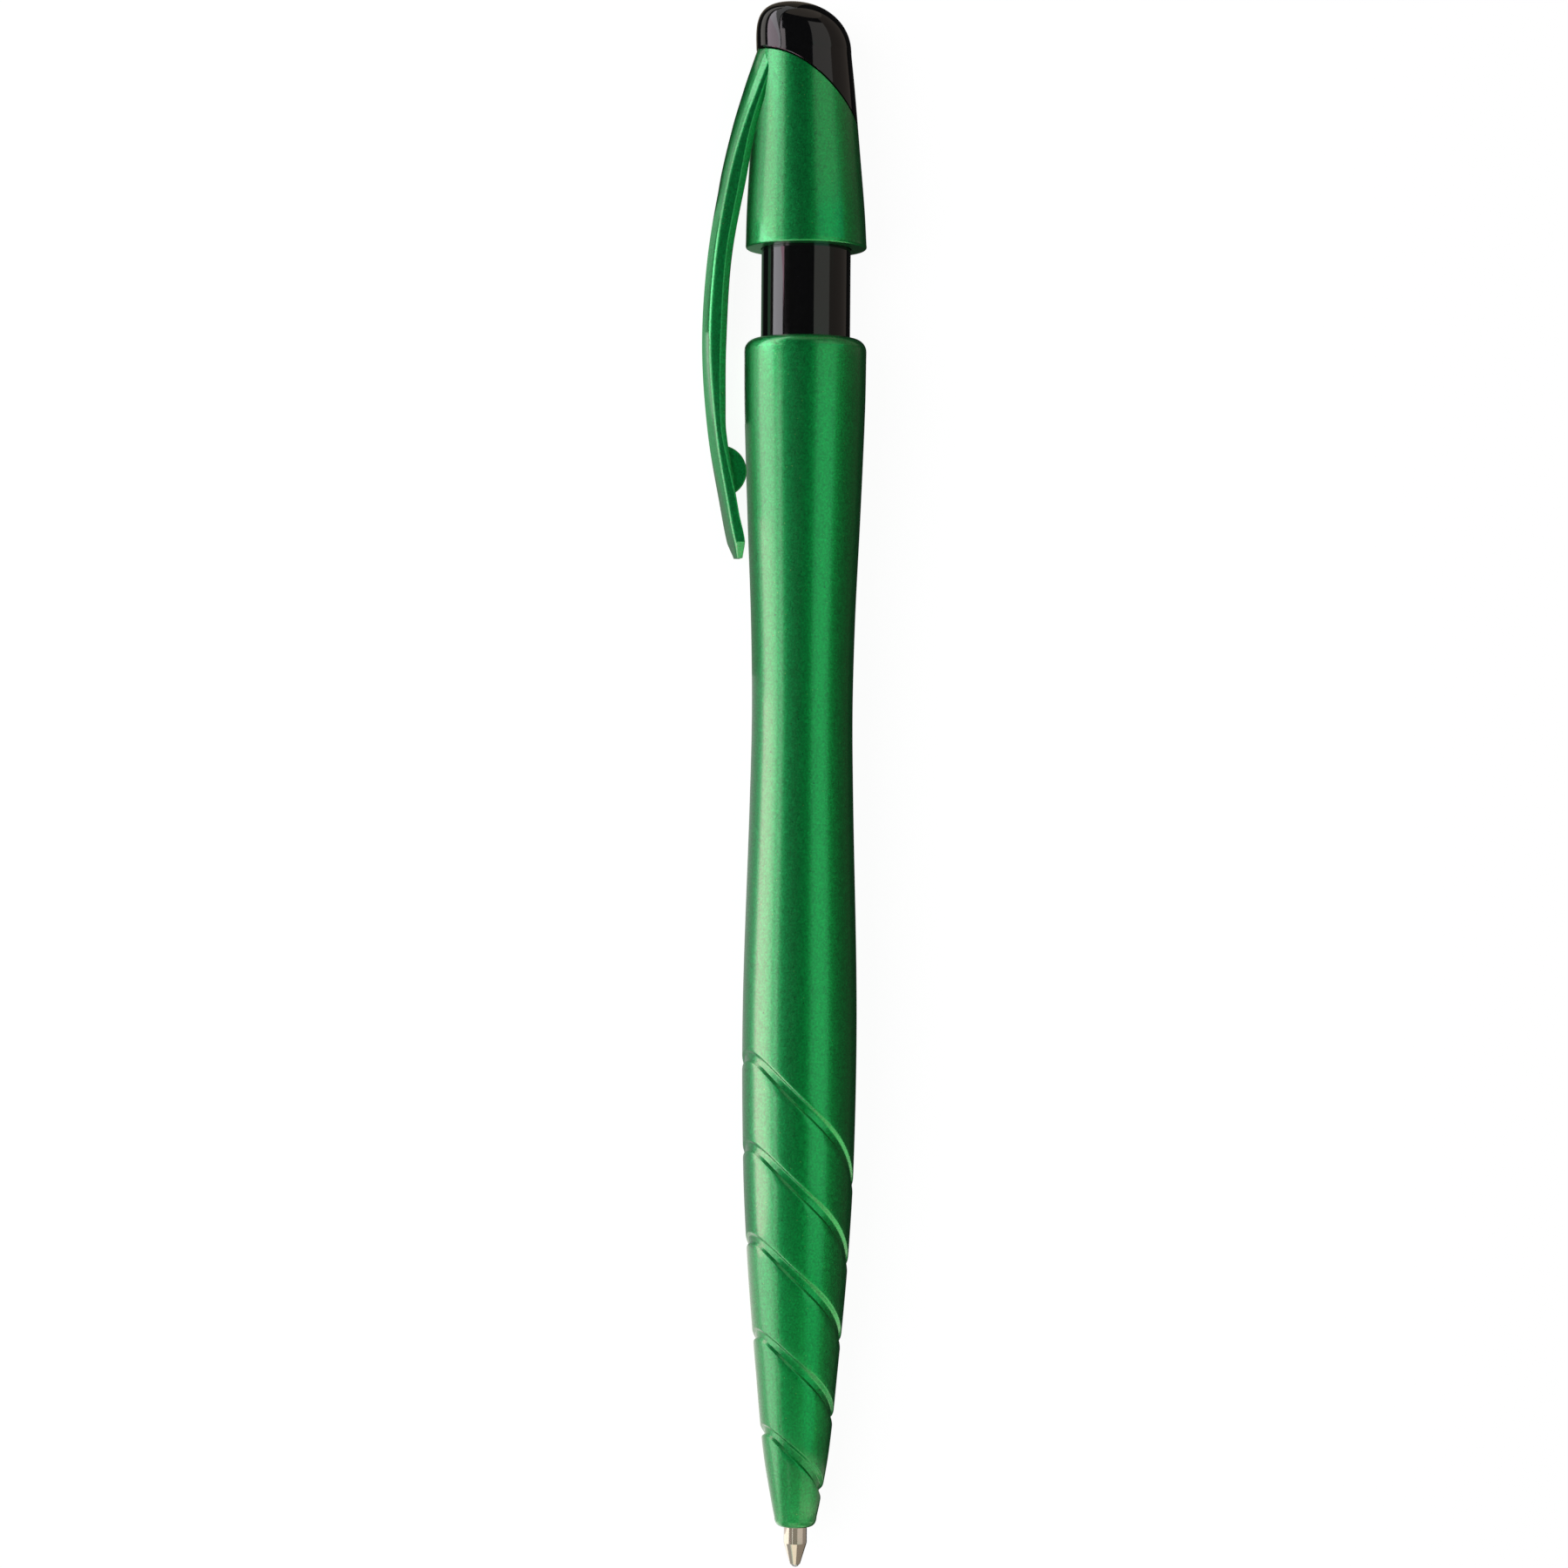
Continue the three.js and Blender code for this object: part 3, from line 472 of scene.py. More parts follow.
def skin_faces(rings, around, endless, first):
    """Faces over rings of points. An endless skin closes on itself, others end in flat caps."""
    faces = []
    spans = rings if endless else rings - 1
    for i in range(spans):
        here = first + i * around
        after = first + (i + 1) % rings * around
        for j in range(around):
            k = (j + 1) % around
            faces.append((here + j, here + k, after + k, after + j))
    if not endless:
        faces.append(tuple(reversed(range(first, first + around))))
        faces.append(tuple(range(first + (rings - 1) * around, first + rings * around)))
    return faces


def skins(name, parts):
    """One object of several skins, each given as its rings and whether it is endless."""
    points = []
    faces = []
    for rings, endless in parts:
        faces += skin_faces(len(rings), len(rings[0]), endless, len(points))
        points += [p for ring in rings for p in ring]
    return mesh_object(name, points, faces)


def skin(name, rings, endless=False):
    return skins(name, [(rings, endless)])


def revolve(name, profile, sides):
    """A closed profile of (x, radius), turned about the axis, outer side towards rising x."""
    rings = [[polar(x, radius, angle) for angle in angles(sides)] for x, radius in profile]
    return skin(name, rings, True)


def piece(obj, node, body, material):
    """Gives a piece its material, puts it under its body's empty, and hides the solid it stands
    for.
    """
    obj.data.materials.append(material)
    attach(obj, body)
    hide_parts(node)


# Barrel

def groove_path(i, share):
    """A groove's rise above its centre, in radii, at a cosine of the angle from its highest place,
    and how fast the rise changes with that cosine."""
    swing = GROOVE_SWING + GROOVE_SWING_RISE * i
    rise = GROOVE_SLOPE * share + GROOVE_BOW * share ** 2 + swing * share ** 3
    slope = GROOVE_SLOPE + 2 * GROOVE_BOW * share + 3 * swing * share ** 2
    return rise, slope


def groove_middle(i, angle):
    """Where a groove's middle lies at an angle. The rise goes with the radius there."""
    rise, _ = groove_path(i, math.cos(angle - GROOVE_TURN))
    centre = GROOVE_FIRST + i * GROOVE_PITCH
    x = centre
    for _ in range(GROOVE_TRIES):
        x = centre + barrel_radius(x) * rise
    return x


def groove_span(i, angle):
    """A groove's width along the pen, which is wider where the groove runs steeply."""
    _, slope = groove_path(i, math.cos(angle - GROOVE_TURN))
    return GROOVE_WIDTH * math.hypot(1, slope * math.sin(angle - GROOVE_TURN))


def barrel_column(angle):
    """The barrel's outer points at one angle, from the nose face to the top rim."""
    before, radius = GRIP_LINE[0]
    column = quarter_round((0, NOSE_FACE_RADIUS), GRIP_LINE[0], (0, radius), NOSE_ROUND_STEPS)
    for i in range(GROOVE_COUNT):
        span = groove_span(i, angle)
        low = groove_middle(i, angle) - span / 2
        full_depth = FRONT_GROOVE_DEPTH if i == 0 else GROOVE_DEPTH
        for x in steps(before, low, GRIP_STEPS)[1:-1]:
            column.append((x, barrel_radius(x)))
        for share, depth in GROOVE_PROFILE:
            x = low + span * share
            column.append((x, barrel_radius(x) - full_depth * depth))
        before = low + span
    for x in steps(before, GRIP_END, GRIP_END_STEPS)[1:]:
        column.append((x, barrel_radius(x)))
    rim_start = BARREL_LENGTH - RIM_ROUND
    for x in steps(GRIP_END, rim_start, BODY_STEPS)[1:-1]:
        column.append((x, barrel_radius(x)))
    radius = barrel_radius(rim_start)
    column += quarter_round(
        (rim_start, radius), (BARREL_LENGTH, radius - RIM_ROUND), (BARREL_LENGTH, radius),
        RIM_STEPS)
    return column


def make_barrel(material):
    bore = [
        (BARREL_LENGTH, TUBE_RADIUS + RUNNING_GAP), (LEDGE, TUBE_RADIUS + RUNNING_GAP),
        (LEDGE, GUIDE_BORE), (GUIDE_SEAT, GUIDE_BORE), (GUIDE_SEAT, CAVITY_RADIUS),
        (CAVITY_START, CAVITY_RADIUS), (CHAMBER_END, CHAMBER_RADIUS),
        (SPRING_SEAT, CHAMBER_RADIUS), (SPRING_SEAT, NOSE_BORE), (0, NOSE_BORE),
    ]
    columns = [
        [polar(x, radius, angle) for x, radius in barrel_column(angle) + bore]
        for angle in angles(BARREL_SIDES)
    ]
    rings = [list(ring) for ring in zip(*columns)]
    barrel = skin("barrel_shell", rings, True)
    shade(barrel)
    piece(barrel, "barrel", "barrel", material)


# Button

def lean_at(x):
    """How far the sleeve's outline has moved to the clip side at a place along it."""
    return SLEEVE_LEAN * min(max((x - SLEEVE_RIM) / (DOME_START - SLEEVE_RIM), 0), 1)


def outline_point(m, angle):
    """The button's outline along a meridian. m is 0 at the foot of the dome, below it in mm."""
    if m <= 0:
        x = DOME_START + m
        return polar(x, sleeve_radius(x), angle, lean_at(x))
    turn = min(m / DOME_RUN, 1) * math.pi / 2
    rise = math.sin(turn) ** (2 / DOME_POWER)
    radius = sleeve_radius(DOME_START) * max(math.cos(turn), 0) ** (2 / DOME_POWER)
    lean = SLEEVE_LEAN + DOME_LEAN * rise ** DOME_LEAN_POWER
    return polar(DOME_START + DOME_HEIGHT * rise, radius, angle, lean)


def seam_at(y):
    """Where the seam between sleeve and cap lies along the pen, at a distance to the clip side."""
    return SLEEVE_RIM + SEAM_HEIGHT + SEAM_SLOPE * y - SEAM_CURVE * y * y


def seam_meridian(angle, gap):
    """Where the outline crosses the seam, found by halving."""
    low, high = SLEEVE_RIM - DOME_START, DOME_RUN
    for _ in range(SEAM_HALVINGS):
        middle = (low + high) / 2
        x, y, _ = outline_point(middle, angle)
        if x < seam_at(y) + gap:
            low = middle
        else:
            high = middle
    return low


def seam_point(radius, angle, gap):
    y, z = radius * math.cos(angle), radius * math.sin(angle)
    return (seam_at(y) + gap, y, z)


SLEEVE_LEDGE = seam_at(-SLEEVE_LINE[-1][1]) - SLEEVE_FLOOR


def sleeve_rings():
    """The sleeve without its clip, as one closed skin."""
    bore = TUBE_RADIUS + RUNNING_GAP
    rim_radius = sleeve_radius(SLEEVE_RIM)
    rim = quarter_round(
        (SLEEVE_RIM, rim_radius - SLEEVE_BEVEL), (SLEEVE_RIM + SLEEVE_BEVEL, rim_radius),
        (SLEEVE_RIM, rim_radius), BEVEL_STEPS)
    foot = SLEEVE_RIM - DOME_START + SLEEVE_BEVEL
    columns = []
    for angle in angles(BUTTON_SIDES):
        top = seam_meridian(angle, 0)
        column = [polar(x, radius, angle) for x, radius in rim]
        meridian = steps(foot, top - SEAM_EDGE, SLEEVE_STEPS)[1:]
        column += [outline_point(m, angle) for m in meridian]
        outer = math.hypot(*outline_point(top, angle)[1:])
        column += [
            seam_point(radius, angle, 0)
            for radius in (outer - SEAM_EDGE, (outer + TUBE_BORE) / 2, TUBE_BORE)
        ]
        column += [polar(SLEEVE_LEDGE, TUBE_BORE, angle), polar(SLEEVE_LEDGE, bore, angle)]
        column.append(polar(SLEEVE_RIM, bore, angle))
        columns.append(column)
    return [list(ring) for ring in zip(*columns)]


def rounded(corners, bend):
    """A line through corners of (y, z, radius), with each corner rounded."""
    line = []
    for i, (y, z, radius) in enumerate(corners):
        if radius == 0:
            line.append((y, z))
            continue
        corner = Vector((y, z))
        before = Vector(corners[i - 1][:2]) - corner
        after = Vector(corners[i + 1][:2]) - corner
        start = before.normalized() * min(radius, before.length / 2)
        end = after.normalized() * min(radius, after.length / 2)
        for t in steps(0, 1, bend):
            line.append(tuple(corner + start * (1 - t) ** 2 + end * t ** 2))
    return line


def clip_section(x):
    """The near half of the clip's section, from the middle of its inner face outwards."""
    inner, outer, half = clip_inner(x), clip_outer(x), clip_half_width(x)
    crown = clip_crown(x)
    cut = min(clip_cut(x), (outer - inner) / 2, half / 2)
    top = half - (outer - inner) * CLIP_DRAFT
    side = rounded([
        (inner, 0, 0), (inner, half / 2, 0),
        (inner, half - cut * CLIP_CUT_SHARE, CLIP_FINE_ROUND),
        (inner + cut, half, CLIP_FINE_ROUND),
        (outer, top, CLIP_EDGE_ROUND),
        (outer + crown * CLIP_SHOULDER_RISE, top * CLIP_SHOULDER, 0),
    ], CLIP_ROUND_STEPS)[:-1]
    last = side[-1][1]
    for share in steps(1, 0, CLIP_CROWN_STEPS)[1:]:
        z = last * share
        side.append((outer + crown * (1 - (z / half) ** 2), z))
    return side


def clip_ring(x):
    side = clip_section(x)
    loop = [(y, -z) for y, z in side] + [(y, z) for y, z in reversed(side[1:-1])]
    return [(min(x, seam_at(y) - CLIP_SEAM_GAP), y, z) for y, z in loop]


def clip_rings():
    foot, chamfer = (SLEEVE_RIM + x for x, _ in CLIP_WIDTH_LINE[:2])
    root = SLEEVE_RIM + CLIP_WIDTH_LINE[-1][0]
    stations = steps(foot, chamfer, CLIP_FOOT_STEPS) + steps(chamfer, root, CLIP_STEPS)[1:]
    return [clip_ring(x) for x in stations]


def bump_rings():
    """The half round under the clip that grips a pocket's edge."""
    place = SLEEVE_RIM + BUMP_PLACE
    lowest = barrel_radius(place + RELEASE_TRAVEL) + BUMP_GAP
    height = (clip_inner(place) + clip_outer(place)) / 2 - lowest - BUMP_RADIUS
    side = math.asin(height / BUMP_RADIUS)
    half = BUMP_WIDTH / 2
    stations = [(inwards - half, inset) for inwards, inset in BUMP_ROUND]
    stations += [(half - inwards, inset) for inwards, inset in reversed(BUMP_ROUND)]
    rings = []
    for z, inset in stations:
        radius = BUMP_RADIUS - inset
        ring = []
        for turn in steps(math.pi - side, 2 * math.pi + side, BUMP_STEPS):
            rise = BUMP_RADIUS + radius * math.sin(turn)
            x = place + radius * math.cos(turn)
            ring.append((x, lowest + rise, z * (1 - rise * CLIP_DRAFT / half)))
        rings.append(ring)
    return rings


def make_clip_sleeve(material):
    sleeve = skin("sleeve", sleeve_rings(), True)
    clip = skins("clip", [(clip_rings(), False), (bump_rings(), False)])
    # Reflections show the sheets and not the clip.
    clip.visible_glossy = False
    for part in (sleeve, clip):
        shade(part)
        piece(part, "clip_sleeve", "button", material)


def make_head_cap(material):
    spigot = TUBE_BORE - PRESS_GAP
    foot = SLEEVE_LEDGE - SPIGOT_REACH
    floor = DOME_START - CAP_FLOOR
    core = spigot - SPIGOT_WALL
    inside = [
        (floor, CAP_CORE_TIP), (floor, core), (foot, core), (foot, spigot - SPIGOT_LEAD),
        (foot + SPIGOT_LEAD, spigot),
    ]
    columns = []
    for angle in angles(BUTTON_SIDES):
        low = seam_meridian(angle, SEAM_GAP)
        outer = math.hypot(*outline_point(low, angle)[1:])
        column = [polar(x, radius, angle) for x, radius in inside]
        column += [
            seam_point(radius, angle, SEAM_GAP)
            for radius in (spigot, (outer + spigot) / 2, outer - CAP_EDGE)
        ]
        meridian = steps(low + CAP_EDGE, DOME_RUN - DOME_END_GAP, DOME_STEPS)
        column += [outline_point(m, angle) for m in meridian]
        columns.append(column)
    cap = skin("domed_cap", [list(ring) for ring in zip(*columns)])
    shade(cap)
    piece(cap, "head_cap", "button", material)


def tooth_height(degrees):
    """The crown's height at an angle, between its valleys and its peaks."""
    pitch = 360 / TOOTH_COUNT
    share = degrees % pitch / pitch
    return TOOTH_HEIGHT * (1 - abs(2 * share - 1))


def arc_block(inner, outer, low, high, start=0, end=360, count=TOOTH_STEPS):
    """A block bent round the axis. Its ends are functions of the angle in degrees."""
    endless = end - start == 360
    stations = steps(start, end, count)[:count if endless else count + 1]
    rings = []
    for degrees in stations:
        angle = math.radians(degrees)
        rings.append([
            polar(low(degrees), inner, angle), polar(high(degrees), inner, angle),
            polar(high(degrees), outer, angle), polar(low(degrees), outer, angle),
        ])
    return rings, endless


def make_plunger_tube(material):
    crown_top = CROWN + TOOTH_HEIGHT + SEAT_GAP
    low = LEDGE + PRESS_TRAVEL + PRESS_ROOM
    floor = low + TUBE_FLOOR
    top = SLEEVE_LEDGE - SEAT_GAP
    profile = [
        (crown_top, STEM_BORE), (crown_top, STEM_RADIUS), (low, STEM_RADIUS),
        (low, TUBE_RADIUS - TUBE_CHAMFER), (low + TUBE_CHAMFER, TUBE_RADIUS),
        (top - FINE_CHAMFER, TUBE_RADIUS), (top, TUBE_RADIUS - FINE_CHAMFER),
        (top, TUBE_BORE), (floor, TUBE_BORE), (floor, STEM_BORE),
    ]
    body = [[polar(x, radius, angle) for angle in angles(TUBE_SIDES)] for x, radius in profile]
    parts = [(body, True), arc_block(
        STEM_BORE + CROWN_INSET, STEM_RADIUS - CROWN_INSET,
        lambda degrees: CROWN + tooth_height(degrees) + SEAT_GAP,
        lambda degrees: crown_top + ROOT_DEPTH)]
    rib = crown_top + STEM_RIB_START
    for i in range(TRACK_COUNT):
        middle = (i + 0.5) * 360 / TRACK_COUNT
        parts.append(arc_block(
            STEM_RADIUS - ROOT_DEPTH, RIB_RADIUS, lambda _: rib, lambda _: rib + STEM_RIB_LENGTH,
            middle - RIB_ANGLE / 2, middle + RIB_ANGLE / 2, RIB_STEPS))
    tube = skins("button_tube", parts)
    shade(tube)
    piece(tube, "plunger_tube", "button", material)


# Refill and spring

def make_point(material):
    lip = BALL_SHOW - POINT_REACH
    cone_end = lip + CONE_LENGTH
    ball_centre = BALL_RADIUS - POINT_REACH
    cup = BALL_RADIUS + BALL_GAP
    plug_end = POINT_BODY_END + PLUG_LENGTH
    duct_end = plug_end - PLUG_BORE_DEPTH
    profile = [(lip + x, LIP_RADIUS + rise) for x, rise in LIP_LINE]
    profile += [
        (cone_end, SHANK_RADIUS),
        (SHANK_END - CORNER_STEP, SHANK_RADIUS), (SHANK_END, SHANK_RADIUS),
        (SHANK_END, POINT_BODY_RADIUS - POINT_CHAMFER),
        (SHANK_END + POINT_CHAMFER, POINT_BODY_RADIUS),
        (POINT_BODY_END, POINT_BODY_RADIUS), (POINT_BODY_END, PLUG_RADIUS),
        (plug_end, PLUG_RADIUS), (plug_end, PLUG_BORE),
        (duct_end, PLUG_BORE), (duct_end, INK_DUCT),
        (ball_centre + math.sqrt(cup * cup - INK_DUCT * INK_DUCT), INK_DUCT),
    ]
    for turn in steps(CUP_TURN, 0, CUP_STEPS):
        angle = math.radians(turn)
        profile.append((ball_centre + cup * math.sin(angle), cup * math.cos(angle)))
    point = revolve("turned_point", profile, REFILL_SIDES)
    shade(point, sharp_degrees=15.5)
    piece(point, "refill_point", "refill", material)


def make_ball(material):
    centre = BALL_RADIUS - POINT_REACH
    rings = []
    for turn in steps(-BALL_END_TURN, BALL_END_TURN, BALL_STEPS):
        x = centre + BALL_RADIUS * math.sin(math.radians(turn))
        radius = BALL_RADIUS * math.cos(math.radians(turn))
        rings.append([polar(x, radius, angle) for angle in angles(BALL_SIDES)])
    ball = skin("ball", rings)
    ball.data.shade_smooth()
    piece(ball, "writing_ball", "writing_ball", material)


def make_refill_tube(material):
    start = POINT_BODY_END + SEAT_GAP
    end = CROWN - CAM_BODY_LENGTH + CAM_SOCKET_DEPTH
    collar_end = COLLAR_PLACE + COLLAR_WIDTH
    profile = [
        (start, REFILL_BORE), (start, REFILL_RADIUS - FINE_CHAMFER),
        (start + FINE_CHAMFER, REFILL_RADIUS),
        (COLLAR_PLACE, REFILL_RADIUS), (COLLAR_PLACE, COLLAR_RADIUS - FINE_CHAMFER),
        (COLLAR_PLACE + FINE_CHAMFER, COLLAR_RADIUS),
        (collar_end - FINE_CHAMFER, COLLAR_RADIUS), (collar_end, COLLAR_RADIUS - FINE_CHAMFER),
        (collar_end, REFILL_RADIUS),
        (end - FINE_CHAMFER, REFILL_RADIUS), (end, REFILL_RADIUS - FINE_CHAMFER),
        (end, REFILL_BORE),
    ]
    tube = revolve("ink_tube", profile, REFILL_SIDES)
    shade(tube)
    piece(tube, "refill_tube", "refill", material)


def spring_place(turn):
    """The wire's place along the pen after some turns. The first and last turn lie close."""
    start = SPRING_SEAT + SEAT_GAP + SPRING_WIRE
    end = COLLAR_PLACE - SEAT_GAP - SPRING_WIRE
    pitch = (end - start - 2 * SPRING_END_PITCH) / (SPRING_TURNS - 2)
    if turn < 1:
        return start + turn * SPRING_END_PITCH
    if turn > SPRING_TURNS - 1:
        return end - (SPRING_TURNS - turn) * SPRING_END_PITCH
    return start + SPRING_END_PITCH + (turn - 1) * pitch


def make_spring(material):
    rings = []
    for turn in steps(0, SPRING_TURNS, SPRING_TURNS * SPRING_STEPS):
        ring = []
        for side in angles(WIRE_SIDES):
            radius = SPRING_RADIUS + SPRING_WIRE * math.cos(side)
            x = spring_place(turn) - SPRING_WIRE * math.sin(side)
            ring.append(polar(x, radius, 2 * math.pi * turn))
        rings.append(ring)
    spring = skin("coil", rings)
    shade(spring, sharp_degrees=60)
    spring.data.materials.append(material)
    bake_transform(spring)
    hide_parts("return_spring")


# Materials

class Nodes:
    """A material's node tree round one Principled shader."""

    def __init__(self, name, **constants):
        self.material = bpy.data.materials.new(name)
        self.material.use_nodes = True
        self.tree = self.material.node_tree
        self.shader = self.tree.nodes["Principled BSDF"]
        for key, value in constants.items():
            self.shader.inputs[key.replace("_", " ")].default_value = value
        self.place = self.add("ShaderNodeTexCoord").outputs["Object"]

    def add(self, kind, inputs=(), **settings):
        node = self.tree.nodes.new(kind)
        for key, value in settings.items():
            setattr(node, key, value)
        for key, value in dict(inputs).items():
            if isinstance(value, bpy.types.NodeSocket):
                self.tree.links.new(value, node.inputs[key])
            else:
                node.inputs[key].default_value = value
        return node

    def noise(self, size_mm, detail=2.0):
        node = self.add("ShaderNodeTexNoise", {
            "Vector": self.place, "Scale": 1 / (size_mm * MM), "Detail": detail})
        return node.outputs["Fac"]

    def cells(self, size_mm, output="Color"):
        node = self.add("ShaderNodeTexVoronoi", {
            "Vector": self.place, "Scale": 1 / (size_mm * MM)})
        return node.outputs[output]

    def span(self, value, low, high, from_low=0.0, from_high=1.0):
        """A value that runs from low to high where the given one runs between two others."""
        node = self.add("ShaderNodeMapRange", {
            "Value": value, "From Min": from_low, "From Max": from_high,
            "To Min": low, "To Max": high})
        return node.outputs["Result"]

    def mix(self, factor, a, b, blend="MIX"):
        """A mix of two colours, which a Mix node takes at its inputs 6 and 7."""
        node = self.add("ShaderNodeMix", data_type="RGBA", blend_type=blend)
        for key, value in ((0, factor), (6, a), (7, b)):
            if isinstance(value, bpy.types.NodeSocket):
                self.tree.links.new(value, node.inputs[key])
            else:
                node.inputs[key].default_value = value
        return node.outputs[2]

    def math(self, operation, a, b):
        node = self.add("ShaderNodeMath", {0: a, 1: b}, operation=operation)
        return node.outputs[0]

    def vector(self, operation, inputs):
        return self.add("ShaderNodeVectorMath", inputs, operation=operation).outputs[0]

    def bump(self, height, depth_mm):
        node = self.add("ShaderNodeBump", {"Height": height, "Distance": depth_mm * MM})
        return node.outputs["Normal"]

    def link(self, output, name):
        self.tree.links.new(output, self.shader.inputs[name])


def green_metallic():
    """Satin metallic lacquer: fine flakes under a clear coat, with a few dust specks."""
    m = Nodes("green_metallic", Metallic=0.66, IOR=1.5, Specular_IOR_Level=0.25,
              Coat_Weight=1.0, Coat_Roughness=0.21, Coat_IOR=1.5)
    tone = m.span(m.noise(LACQUER_GRAIN, 2.0), 0.72, 1.28, 0.3, 0.7)
    grey = m.add("ShaderNodeCombineColor", {"Red": tone, "Green": tone, "Blue": tone})
    base = m.mix(1.0, LACQUER, grey.outputs[0], "MULTIPLY")
    speck = m.math("LESS_THAN", m.cells(SPECK_SPACING, "Distance"), SPECK_REACH)
    kind = m.math("GREATER_THAN", m.noise(1.3, 0.0), 0.42)
    m.link(m.mix(speck, base, m.mix(kind, DARK_SPECK, PALE_SPECK)), "Base Color")
    m.link(m.span(m.noise(0.5, 2.0), 0.36, 0.45, 0.3, 0.7), "Roughness")
    flakes = m.vector("SUBTRACT", {0: m.cells(FLAKE_SIZE), 1: (0.5, 0.5, 0.5)})
    tilt = m.vector("SCALE", {0: flakes, "Scale": FLAKE_TILT})
    normal = m.vector("ADD", {0: m.bump(m.noise(0.12, 2.0), 0.002), 1: tilt})
    m.link(m.vector("NORMALIZE", {0: normal}), "Normal")
    return m.material


def black_gloss():
    """Polished black plastic, with the faint waviness of a moulding."""
    m = Nodes("black_gloss", IOR=1.5)
    colour = m.mix(m.noise(0.3, 2.0), (0.006, 0.006, 0.0065, 1), (0.011, 0.011, 0.012, 1))
    m.link(colour, "Base Color")
    m.link(m.span(m.noise(0.8, 3.0), 0.055, 0.09), "Roughness")
    m.link(m.bump(m.noise(4.0, 1.0), 0.004), "Normal")
    return m.material


def nickel_silver():
    """Turned metal, with fine rings from the lathe."""
    m = Nodes("nickel_silver", Metallic=1.0)
    rings = m.add("ShaderNodeTexWave", {
        "Vector": m.place, "Scale": LATHE_RINGS, "Distortion": 0.4, "Detail": 1.0},
        wave_type="BANDS", bands_direction="X").outputs["Fac"]
    colour = m.mix(m.noise(0.2, 2.0), (0.56, 0.52, 0.44, 1), (0.66, 0.62, 0.54, 1))
    m.link(colour, "Base Color")
    m.link(m.span(rings, 0.1, 0.15), "Roughness")
    m.link(m.bump(rings, 0.0002), "Normal")
    return m.material


def carbide():
    """Ground hard metal, nearly even."""
    m = Nodes("carbide", Metallic=1.0)
    m.link(m.mix(m.noise(0.05), (0.42, 0.42, 0.44, 1), (0.48, 0.48, 0.5, 1)), "Base Color")
    m.link(m.span(m.noise(0.1), 0.1, 0.2), "Roughness")
    return m.material


def spring_steel():
    """Drawn wire, with faint streaks."""
    m = Nodes("spring_steel", Metallic=1.0)
    m.link(m.mix(m.noise(0.15, 3.0), (0.44, 0.44, 0.46, 1), (0.56, 0.56, 0.58, 1)), "Base Color")
    m.link(m.span(m.noise(0.1), 0.22, 0.36), "Roughness")
    m.link(m.bump(m.noise(0.06), 0.001), "Normal")
    return m.material


def moulded(name, colours, roughness):
    """Matt moulded plastic between two colours, with a fine spark-eroded grain."""
    m = Nodes(name, IOR=1.5)
    m.link(m.mix(m.noise(0.6, 3.0), *colours), "Base Color")
    m.link(m.span(m.noise(0.3), roughness - 0.05, roughness + 0.08), "Roughness")
    m.link(m.bump(m.noise(0.08, 2.0), 0.003), "Normal")
    return m.material


def clear_plastic():
    """Extruded, slightly milky tube."""
    m = Nodes("clear_plastic", IOR=1.49, Transmission_Weight=0.7)
    m.link(m.mix(m.noise(0.7, 2.0), (0.74, 0.78, 0.8, 1), (0.82, 0.85, 0.87, 1)), "Base Color")
    m.link(m.span(m.noise(0.4), 0.2, 0.34), "Roughness")
    m.link(m.bump(m.noise(0.5), 0.002), "Normal")
    return m.material


def ink():
    """Thick paste, with a slightly uneven wet surface."""
    m = Nodes("ink", IOR=1.45)
    m.link(m.mix(m.noise(0.4), (0.008, 0.012, 0.05, 1), (0.014, 0.02, 0.075, 1)), "Base Color")
    m.link(m.span(m.noise(0.5), 0.15, 0.3), "Roughness")
    m.link(m.bump(m.noise(0.6), 0.01), "Normal")
    return m.material


def finish_node(node, material):
    """Gives a material to a solid that the scene shows as it is."""
    for slot in frame["nodes"][node].material_slots:
        slot.material = material


# Studio

def emission(name, level):
    material = bpy.data.materials.new(name)
    material.use_nodes = True
    tree = material.node_tree
    tree.nodes.clear()
    light = tree.nodes.new("ShaderNodeEmission")
    light.inputs["Color"].default_value = (*level, 1)
    tree.links.new(light.outputs[0], tree.nodes.new("ShaderNodeOutputMaterial").inputs[0])
    return material


def reflected_sheet(name, points, faces, level):
    """A glowing sheet that is seen only in reflections."""
    mesh = bpy.data.meshes.new(name)
    mesh.from_pydata(points, [], faces)
    sheet = bpy.data.objects.new(name, mesh)
    scene.collection.objects.link(sheet)
    sheet.data.materials.append(emission(name, level))
    sheet.visible_camera = False
    sheet.visible_diffuse = False
    sheet.visible_transmission = False
    sheet.visible_volume_scatter = False
    sheet.visible_shadow = False


def long_sheet(name, section, start, end, level):
    """A sheet over a section of (y, z) world points in metres. Its start and end are world x in
    millimetres."""
    points = [(x * MM, y, z) for y, z in section for x in (start, end)]
    faces = [(2 * i, 2 * i + 1, 2 * i + 3, 2 * i + 2) for i in range(len(section) - 1)]
    reflected_sheet(name, points, faces, level)


def arc(start, end, radius):
    """World points of an arc round the pen, in degrees up from the clip side's horizon."""
    count = max(int(abs(end - start) / ARC_STEP), 2)
    return [
        (AXIS.y + radius * math.cos(math.radians(d)), AXIS.z + radius * math.sin(math.radians(d)))
        for d in steps(start, end, count)
    ]


